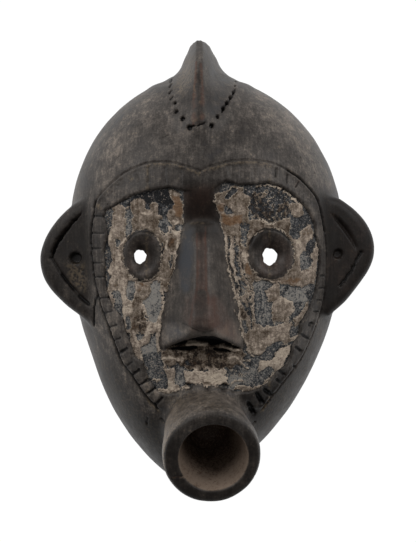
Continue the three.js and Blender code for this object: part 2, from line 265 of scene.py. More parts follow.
def reachSquared(x, y, centre, radii):  # 1 on an ellipse
    return ((x - centre[0]) / radii[0]) ** 2 + ((y - centre[1]) / radii[1]) ** 2


def faceFloor(x, y):
    s = sunkFace
    inside = 1 - reachSquared(x, y, s["centre"], s["radii"])
    brow = np.exp(-reachSquared(x, y, s["browAt"], s["browOver"]))
    return domeHeight(x, y, head) - s["edge"] - s["dish"] * np.maximum(inside, 0) - s["brow"] * brow


nose = {
    "centreX": -2,
    "half": [(-25.4, 12.6), (-24.2, 13.2), (-18.5, 12.8), (-10, 11.5), (0, 9), (8, 7.3), (15.5, 5.4),
             (20, 5), (27, 4.6)],
    "ridge": [(-25.4, 8), (-24.2, 8), (-21.5, 5), (-18.5, 3), (-10, 2.4), (0, 2), (8, 1.8), (15.5, 1.7),
              (27, 1.6)],
    "height": [(-25.4, 0), (-24.9, 3), (-24.2, 7), (-23, 9.8), (-21, 11.4), (-17, 12.1), (-10, 10), (0, 7.3),
               (8, 4.7), (12, 3.1), (15, 1.9), (16.4, 0.7), (20, 0.3), (27, 0.2)],
    "arch": 3.2, "archHalf": 12.5,
}


def noseHeight(x, y):
    off = np.abs(x - nose["centreX"])
    half, ridge = readCurve(nose["half"], y), readCurve(nose["ridge"], y)
    base = y - nose["arch"] * np.maximum(1 - (off / nose["archHalf"]) ** 2, 0) * smoothStep(-13, -20, y)
    height = np.maximum(readCurve(nose["height"], base), 0) * (base > nose["height"][0][0])
    side = np.clip((half - off) / (half - ridge), 0, 1)
    return height * smoothLow(side, 1 - 0.02 * off / ridge, 0.12) * smoothStep(29, 26, y)


band = {"edge": (-0.2, 0.55), "slope": (-10.5, 3), "bridgeHalf": 6, "bridgeY": (13.5, 16.5)}


def nearBridge(x, y):  # where the band runs softly down on to the nose
    return np.exp(-((x - nose["centreX"]) / band["bridgeHalf"]) ** 4) * smoothStep(*band["bridgeY"], y)


eyes = [
    {"centre": (-21.2, 5.1), "radii": (5.9, 7.9), "hole": (-22.1, 4.7), "holeRadii": (2.25, 2.5)},
    {"centre": (20.5, 5.6), "radii": (7.1, 8.0), "hole": (20.1, 4.7), "holeRadii": (2.65, 3.0)},
]
eyeProfile = [(0, -2.4), (0.3, -2.1), (0.42, -1.1), (0.6, 0.2), (0.78, 1.05), (0.9, 1.2), (1.0, 0.75),
              (1.08, 0)]


def eyeReach(x, y, eye):
    return np.sqrt(reachSquared(x, y, eye["centre"], eye["radii"]))


faceOutside = PlanMap(0.4)  # how far outside the sunk face
faceOutside.data = outlineDistance(*faceOutside.grid(), faceOutline)
faceTop = PlanMap(0.25)     # height of the sunk face with its nose and eye rings
gridX, gridY = faceTop.grid()
faceTop.data = faceFloor(gridX, gridY) + noseHeight(gridX, gridY)
for eye in eyes:
    faceTop.data = faceTop.data + readCurve(eyeProfile, eyeReach(gridX, gridY, eye))
faceSteep = PlanMap(0.25)
slopeX, slopeY = np.gradient(faceTop.data, faceTop.step)
faceSteep.data = np.sqrt(1 + np.minimum(slopeX ** 2 + slopeY ** 2, 6))


# the trumpet mouth

mouth = {
    "base": (-0.8, -51.3, 30), "leanDown": 17.2, "leanRight": 4.8,
    "outline": [(0, -9), (13, -9), (13.3, 0), (14.3, 10), (15.5, 20), (15.6, 23), (15.4, 25.4), (14.8, 26.6),
                (13.8, 27), (0, 27)],
    "bore": [(0, 0.5), (4, 0.7), (6, 3), (7.2, 8), (10.5, 22), (11.2, 27), (12, 31), (0, 31)],
    "boreAside": 0.4,
}


def alongMouth(x, y, z):
    down, right = math.radians(mouth["leanDown"]), math.radians(mouth["leanRight"])
    x, y, z = (value - start for value, start in zip((x, y, z), mouth["base"]))
    x, z = x * math.cos(right) - z * math.sin(right), x * math.sin(right) + z * math.cos(right)
    y, z = y * math.cos(down) + z * math.sin(down), z * math.cos(down) - y * math.sin(down)
    return x, y, z


# the lug ears, whose outlines are read from the picture

ears = {
    "left": "92,206 78,203 72.5,206 65.6,212.2 58,220.6 50.3,230.6 45,240.5 41.4,251.2 40.6,259.5 "
            "41.9,269.6 45.7,280.3 51.8,289.5 59.5,297.9 68.7,306.3 77.1,312.5 86,319 93,323.5 "
            "99,321 102,300 102,230",
    "right": "322,203 330,198 337.5,198.5 345.9,203.8 353.6,209.9 361.2,217.6 367.3,226 371.9,235.9 "
             "373.8,246.6 373.2,257.3 369.6,266.5 364.3,275.7 357.4,285.7 350.5,294.1 344.4,301 "
             "338.3,306.6 332.5,311.5 326,316 318,300 314,230",
}
earPlate = {"outlineZ": 16, "frontZ": 25, "frontX": 38, "sweepBack": math.radians(14), "thickness": 11,
            "rim": 3.2}


earOutside = PlanMap(0.4, 99)
for ear in ears.values():
    outline = smoothLine(fromPicture(ear, earPlate["outlineZ"]), 80, closed=True)
    earOutside.data = np.minimum(earOutside.data, outlineDistance(*earOutside.grid(), outline))


def earFront(x):
    return earPlate["frontZ"] - (np.abs(x) - earPlate["frontX"]) * math.tan(earPlate["sweepBack"])


# the crest

crest = {
    "centreX": -2.9, "flat": 0.8, "rightWider": 1.08, "leftNarrower": 0.93,
    "ridge": [(42, 33), (46.2, 36), (55, 35), (64, 31.5), (71, 26), (76.7, 18)],
    "half": [(42, 38), (46.2, 36), (50, 32.5), (54, 28), (57, 23), (60.5, 15.2), (62.4, 11.4),
             (63.8, 9.4), (65.1, 8.3), (66.5, 7.4), (68.7, 6.2), (72.4, 4.6), (75.2, 3.1), (78, 2.1)],
    "foot": [(42, 5), (46.6, 5.5), (52, 9.5), (56, 11.5), (59, 13), (63, 15), (77, 15)],
    "startY": 42.5, "tipY": 77, "sharpness": 1.22,
}


def crestLevel(x, y, z):
    half, top = readCurve(crest["half"], y), readCurve(crest["ridge"], y)
    off = x - crest["centreX"]
    half = half * np.where(off > 0, crest["rightWider"], crest["leftNarrower"])
    off = np.sqrt(np.maximum(np.abs(off) - crest["flat"], 0) ** 2 + 0.03)
    power = crest["sharpness"]
    return ((off / half) ** power + (np.abs(z) / top) ** power) ** (1 / power) - 1


# how widely each part is rounded into the others, in millimetres
joins = {"ear": 2.4, "earBack": 1, "crest": [(57, 4.5), (64, 5)], "crestTip": 0.9, "crestStart": 3,
         "crestFoot": 2.5, "mouth": 3, "bore": 0.9, "hollow": 1.5, "eyeHole": 0.5, "backRim": 0.7}
holeFloor = 15     # the eye holes are cut above this height, and the hollow lies under it
holeWaves = [(3, 0.05, 1), (7, 0.04, 0)]


def parts(x, y, z):
    dome = domeDistance(x, y, z)
    face = (z - faceTop.read(x, y)) / faceSteep.read(x, y)
    overNose = nearBridge(x, y)
    outside = faceOutside.read(x, y)
    foot, brink = band["slope"]
    slope = np.clip((outside - foot) / (brink - foot), 0, 1)
    onBand = smoothStep(*band["edge"], outside) * (1 - overNose) + slope * overNose
    carved = face * (1 - onBand) + dome * onBand
    front = (z - earFront(x)) * math.cos(earPlate["sweepBack"])
    lug = smoothHigh(earOutside.read(x, y), front, earPlate["rim"])
    lug = smoothHigh(lug, -earPlate["thickness"] - front, joins["earBack"])
    blade = smoothHigh(asDistance(crestLevel, x, y, z), y - crest["tipY"], joins["crestTip"])
    blade = smoothHigh(blade, crest["startY"] - y, joins["crestStart"])
    blade = smoothHigh(blade, np.abs(x - crest["centreX"]) - readCurve(crest["foot"], y), joins["crestFoot"])
    ax, ay, az = alongMouth(x, y, z)
    reach = np.hypot(ax, ay)
    tube = outlineDistance(reach, az, np.array(mouth["outline"])) - 0.1
    bore = outlineDistance(np.hypot(ax - mouth["boreAside"], ay), az, np.array(mouth["bore"]))
    return {"carved": carved, "lug": lug, "blade": blade, "tube": tube, "bore": bore,
            "hollow": asDistance(lambda *at: domeLevel(*at, hollow), x, y, z)}


def form(points):
    x, y, z = points[:, 0], points[:, 1], points[:, 2]
    p = parts(x, y, z)
    whole = smoothLow(p["carved"], p["lug"], joins["ear"])
    whole = smoothLow(whole, p["blade"], readCurve(joins["crest"], y))
    whole = smoothLow(whole, p["tube"], joins["mouth"])
    whole = smoothHigh(whole, -p["bore"], joins["bore"])
    whole = smoothHigh(whole, -p["hollow"], joins["hollow"])
    for eye in eyes:
        angle = np.arctan2(y - eye["hole"][1], x - eye["hole"][0])
        uneven = 1 + sum(height * np.sin(waves * angle + turn) for waves, height, turn in holeWaves)
        reach = np.sqrt(reachSquared(x, y, eye["hole"], eye["holeRadii"]))
        hole = (reach - uneven) * sum(eye["holeRadii"]) / 2
        whole = smoothHigh(whole, -np.maximum(hole, holeFloor - z), joins["eyeHole"])
    return smoothHigh(whole, -z, joins["backRim"])


# a first net over the form, and the height of its front in plan

net = {"step": 1.6, "hollow": 2.9, "outside": 2.4, "lugs": 1.3, "face": 0.6, "marks": 0.5, "fine": 0.38,
       "rounds": 3, "crestFrom": 56, "clayEdge": 0.22}
low, high = np.array([PlanMap.left, PlanMap.bottom, -3.0]), np.array([PlanMap.right, PlanMap.top, 64.0])
frontHeight = PlanMap(net["step"])
axes = [frontHeight.x, frontHeight.y, np.arange(low[2], high[2], net["step"])]
cells = np.stack([g.ravel() for g in np.meshgrid(*axes, indexing="ij")], axis=1)
field = form(cells).reshape([len(a) for a in axes])

gridX, gridY = frontHeight.grid()
solid = field < 0
top = np.minimum(field.shape[2] - 1 - np.argmax(solid[:, :, ::-1], axis=2), field.shape[2] - 2)
i, j = np.indices(top.shape)
below, above = field[i, j, top], field[i, j, top + 1]
crossing = low[2] + net["step"] * (top + below / np.minimum(below - above, -1e-9))
frontHeight.data = np.where(solid.any(axis=2), crossing, 0)
frontHeight.data = np.where(faceOutside.read(gridX, gridY) < 0, faceTop.read(gridX, gridY), frontHeight.data)
print("form laid out")


# fine carving: how far the surface lies above or below the plain form

relief = PlanMap(0.12)
cavity = PlanMap(0.24)      # painted shadow in the cuts, darkest at their depth
fineness = PlanMap(0.4)     # longest edge that the mesh may have
fineX, fineY = fineness.grid()
onLugs = (earOutside.read(fineX, fineY) < 2) | (fineY > net["crestFrom"])
fineness.data = np.where(onLugs, net["lugs"], net["outside"])
fineness.data = np.where(faceOutside.read(fineX, fineY) < 1.2, net["face"], fineness.data)


def onFront(points):
    return fromPicture(points, frontHeight.read)


def waver(x, y, cell, seed):
    return unevenness(np.stack([x.ravel(), y.ravel()], axis=1), cell, seed).reshape(x.shape)


def aroundStroke(plan, line, halfWidth, seed=5):
    where, (x, y) = plan.around(line, 2 * halfWidth + 1)
    wobble = 0.3 * halfWidth * waver(x, y, 0.8, seed)
    return where, strokeDistance(x + wobble, y - wobble, line) / halfWidth


def refine(line, halfWidth, longest):
    where, off = aroundStroke(fineness, line, halfWidth + 0.6)
    fineness.data[where] = np.where(off < 1, np.minimum(fineness.data[where], longest), fineness.data[where])


# cuts, pits and hollows also paint shadow into their depth; dark is how strong it is
def cut(line, halfWidth, depth, dark=0.9, inPicture=True):
    line = onFront(line) if inPicture else line
    where, off = aroundStroke(relief, line, halfWidth)
    relief.data[where] -= depth * (1 - smoothStep(0.1, 1, off))
    where, off = aroundStroke(cavity, line, halfWidth)
    cavity.data[where] = np.maximum(cavity.data[where], dark * (1 - smoothStep(0.4, 1.15, off)))
    refine(line, halfWidth, net["marks"])


def drill(x, y, radius, depth, dark=1):  # a pit with a flat floor
    centre = onFront([(x, y)])[0]
    for plan in (relief, cavity):
        where, (x, y) = plan.around([centre], 1.6 * radius + 0.5)
        off = np.hypot(x - centre[0], y - centre[1]) / radius + 0.1 * waver(x, y, 1, 8)
        if plan is relief:
            plan.data[where] -= depth * (1 - smoothStep(0.5, 1.05, off))
        else:
            plan.data[where] = np.maximum(plan.data[where], dark * (1 - smoothStep(0.65, 1.1, off)))
    refine(np.array([centre, centre + 0.1]), radius, net["fine"])


def sink(outline, depth, wall, dark=0.9):  # a hollow with sloping walls
    outline = onFront(outline)
    for plan in (relief, cavity):
        where, (x, y) = plan.around(outline, 1)
        wobble = 0.15 * waver(x, y, 0.8, 9)
        within = smoothStep(0, wall, -outlineDistance(x + wobble, y - wobble, outline))
        if plan is relief:
            plan.data[where] -= depth * within
        else:
            plan.data[where] = np.maximum(plan.data[where] * (1 - within * (depth < 0)), dark * within)
    refine(np.concatenate([outline, outline[:1]]), wall, net["marks"])


# the border: a cut line with a proud inner lip, and short ticks across the band
borderOutline = np.concatenate([borderLines["left"], borderLines["right"][::-1]])
borderOutside = PlanMap(0.4)
borderOutside.data = outlineDistance(*borderOutside.grid(), borderOutline)
inBorder = borderOutside.read(*relief.grid())
relief.data += border["proud"] * smoothStep(0.2, -0.5, inBorder)
relief.data += border["lip"] * smoothStep(-0.3, -0.7, inBorder) * smoothStep(-1.5, -0.9, inBorder)
for line in borderLines.values():
    bold = np.where(line[:, 0] < 0, line[:, 1] < border["boldBelow"], (line[:, 0] > 26) & (line[:, 1] > 12))
    cut(line[bold], border["halfWidth"], border["depth"], 0.95, inPicture=False)
    turns = np.flatnonzero(np.diff(bold)) + 1
    for run in np.split(line, turns)[0 if not bold[0] else 1::2]:
        cut(run, 0.65 * border["halfWidth"], 0.5 * border["depth"], 0.5, inPicture=False)

ticks = {
    "plain": ["92.5,216 103,216.5", "92.5,233 104,233.4", "91.8,248.5 101.5,248.3", "93.4,262.7 102.5,262.7",
              "96,277 103.5,277", "99.5,298.5 109,297", "105.5,313 112,311.5", "109.5,327 117,324.5",
              "114.6,340.5 121,337.5", "323,275.8 320,275.6", "323.5,287.5 318.5,287.8", "320,300 316.5,300",
              "317.5,311.6 313,311.2"],
    "strong": ["121.3,351.8 127,348.6", "133.2,374.2 139.6,369.4", "139.6,384.8 147.6,379.8",
               "148.4,393 154.4,388", "156,403.6 162.6,397.6", "311.3,323 308.6,325",
               "308,338.5 302,334.6", "300,350.5 295.6,347", "295,367.4 292.8,365.6", "283.4,374 280,371",
               "280,382.4 276.6,379.6"],
    "deep": ["270,394 265.6,390.6", "261.6,401.6 257.4,394.6", "253.4,412.4 248.6,403.6"],
    "nicks": ["254.8,421.4 253,424.2", "161,418.4 163.6,422.6", "147.6,417.4 146.6,423.6",
              "127.3,366 133,361.6"],
    "faint": ["99.8,203 104.3,206.4", "113,192 109,197.5", "122.3,180.5 118.6,186.5", "136.4,175 138,181.4",
              "149,169 149.6,182", "165,169 165.6,183", "181,171 181.4,184", "253.6,168.6 253.4,176",
              "229,166 229.6,176", "240.6,166 240.8,177"],
    "rightArc": ["275.8,169 275.2,177", "287,175 286.4,183", "298.4,182.4 295,187.4"],
}
tickCuts = {  # half width, depth and darkness
    "plain": (0.52, 0.5, 0.8), "strong": (0.75, 0.8, 0.85), "deep": (1.15, 1.3, 1),
    "nicks": (0.5, 0.5, 0.75), "faint": (0.6, 0.22, 0.35), "rightArc": (0.42, 0.55, 0.8),
}
for kind, lines in ticks.items():
    for line in lines:
        cut(line, *tickCuts[kind])

# awl holes and dashes round the foot of the crest
awlHoles = {
    "dots": [(189.2, 127.6, 1.05), (182.3, 118.6, 0.95), (176, 111.3, 0.85), (174.6, 102.8, 0.65),
             (211.8, 125.7, 0.9), (218, 116.7, 0.75), (223.6, 108.3, 0.85), (227.2, 102.6, 0.85),
             (230.4, 97.3, 0.75), (233.7, 91.6, 0.65), (235, 86, 0.45), (235.8, 81.6, 0.4)],
    "dashes": ["169.9,99.4 172.8,96.3", "168.8,93.2 171.6,90.2", "169.3,87.2 171.4,84",
               "170.1,82.4 171.5,79.2", "191,126.2 194.6,125.8", "197.4,125.7 205,123.1",
               "222,112 226,104 231,98 235,89"],
    "dashHalfWidth": 0.42, "depth": 1.3,
}
for x, y, radius in awlHoles["dots"]:
    drill(x, y, radius, awlHoles["depth"])
for line in awlHoles["dashes"]:
    cut(line, awlHoles["dashHalfWidth"], 0.6 * awlHoles["depth"], 0.95)

# folds and pits of the ears
sink("85,211 79,217.6 72,226 65,235.4 58.6,245.6 54.6,254 52.6,259.4 51,258 49.8,252 53,243.6 "
     "58.4,235.6 65,227.6 72,219.6 79,213.4", 2.2, 0.8, 1)
cut("51.5,258.5 55,264 60.6,273 67.6,282.6 77,293 88,303.6", 0.95, 0.9, 0.6)
cut("61,275 67.6,283.4 73,289.6", 0.6, 0.6, 0.9)
cut("78,296 83,300.6 88,304.6", 0.6, 0.6, 0.9)
drill(75.3, 258.2, 2.2, 1.7, 0.72)
cut("82.5,270.4 82.7,270.4", 0.6, 0.5, 0.8)
cut("97.8,295.6 95.2,301 94,308 93.8,318 94,325", 0.5, 0.6, 1)
sink("328,211.4 335,213.6 342,219 348.6,226 354.6,236 358.6,247 357,251.6 355.6,251.6 349.6,242 "
     "342.6,232 334.6,221.4", 1.8, 2, 0.3)
cut("361.5,252.5 356.6,260.4 350.5,272.7 344.4,280.8 340.6,285.2", 0.8, 0.8, 0.8)
drill(338.3, 253.5, 1.9, 1.3, 0.6)

# under the nose, the lip and old cracks
sink("166,347.4 176,342.6 186,339.6 196,336.4 206,334.8 213,335 222,338.4 232,343 242,348.6 238,350 "
     "230,347 222,344 216,346 209,345.6 207,342.6 198,341.6 189,342 186,344.6 177,345.4", 1, 0.4, 1)
sink("166.6,347.4 176,346 184,345.6 196,345.2 199,346.6 197.6,349.8 190,351 182,351.4 172,350.4", 1.4, 0.4, 1)
sink("211,347.6 218,347 226,348 233,350.6 231,353.2 222,353 214,351.6", 1.4, 0.4, 1)
sink("186,342.6 198,341.2 208,342.6 208.4,345 198,345 186,346", -0.7, 0.5, 0)
sink("219,344.6 230,346.6 240,350 236,350.6 228,348.4 219,347.4", -0.6, 0.5, 0)
cut("164,326 172,321.6 180,322 187,324.6 193,328 200,331.4 205,332.6 212,330.6 222,326", 0.65, 0.2, 0.1)
cut("184,324 193,328.4 200,331.6 206,332.4 212,330.4", 0.55, 0.25, 0.5)
cut("249,246 252,238 258,232 266,229.4 275,230 283,234.4 289,240", 0.5, 0.35, 0.85)
cut("128.6,240 133,235 140,231.6 148,231.6 155,235 159.6,240", 0.45, 0.3, 0.8)
cut("139,279.6 146,281 153,279.8 158,276", 0.45, 0.3, 0.7)
for x, y, radius, dark in [(188.2, 386.6, 1.6, 0.42), (207.2, 385.8, 1.5, 0.4), (224.6, 387.2, 1.7, 0.58)]:
    drill(x, y, radius, 0.9, dark)
for line in ("163,137 170,134", "116,159 119,156", "300,157 300.3,158.6", "314,172.6 314.2,173.6"):
    cut(line, 0.3, 0.3, 0.7)
print("carving laid out")


# paint: pale clay over dark ground, in patches placed from the picture

clay = PlanMap(0.2, -2)     # how far inside a clay patch, in millimetres
tone = PlanMap(0.2, 0.4)    # 0 cream, 1 brown
slate = PlanMap(0.2, 0.35)  # bare ground: 0 black, 1 grey-blue
gridX, gridY = clay.grid()
ragged = {"coarse": (1.6, 0.42), "fine": (0.6, 0.24)}


def frayed(x, y):
    for k, (cell, reach) in enumerate(ragged.values()):
        x = x + reach * waver(x, y, cell, 20 + k)
        y = y + reach * waver(x, y, cell, 30 + k)
    return x, y


def insidePatch(outline):  # how far inside a patch with a frayed edge
    outline = onFront(outline)
    where, (x, y) = clay.around(outline, 1.5)
    return where, -outlineDistance(*frayed(x, y), outline)


def insideLine(halfWidth, line):
    line = onFront(line)
    where, (x, y) = clay.around(line, 1)
    return where, halfWidth - strokeDistance(*frayed(x, y), line)


def blend(plan, where, value, share):
    plan.data[where] = plan.data[where] * (1 - share) + value * share


def raiseClay(where, depth, value, low, high):
    clay.data[where] = np.maximum(clay.data[where], depth)
    blend(tone, where, value, smoothStep(low, high, depth))


def clearClay(where, depth, value, low, high):
    clay.data[where] = np.minimum(clay.data[where], -depth)
    blend(slate, where, value, smoothStep(low, high, depth))


def layClay(value, outline):
    raiseClay(*insidePatch(outline), value, -0.3, 0.2)


def layBare(value, outline):
    clearClay(*insidePatch(outline), value, -0.3, 0.2)


def layCrumbs(level, outline):  # bare ground that is strewn with crumbs of clay
    where, depth = insidePatch(outline)
    blend(clay, where, level, smoothStep(-0.3, 0.3, depth))


def layVein(halfWidth, line, value=0.08):
    raiseClay(*insideLine(halfWidth, line), value, -0.2, 0.1)


def layGap(halfWidth, line, value=0.2):
    clearClay(*insideLine(halfWidth, line), value, -0.2, 0.1)


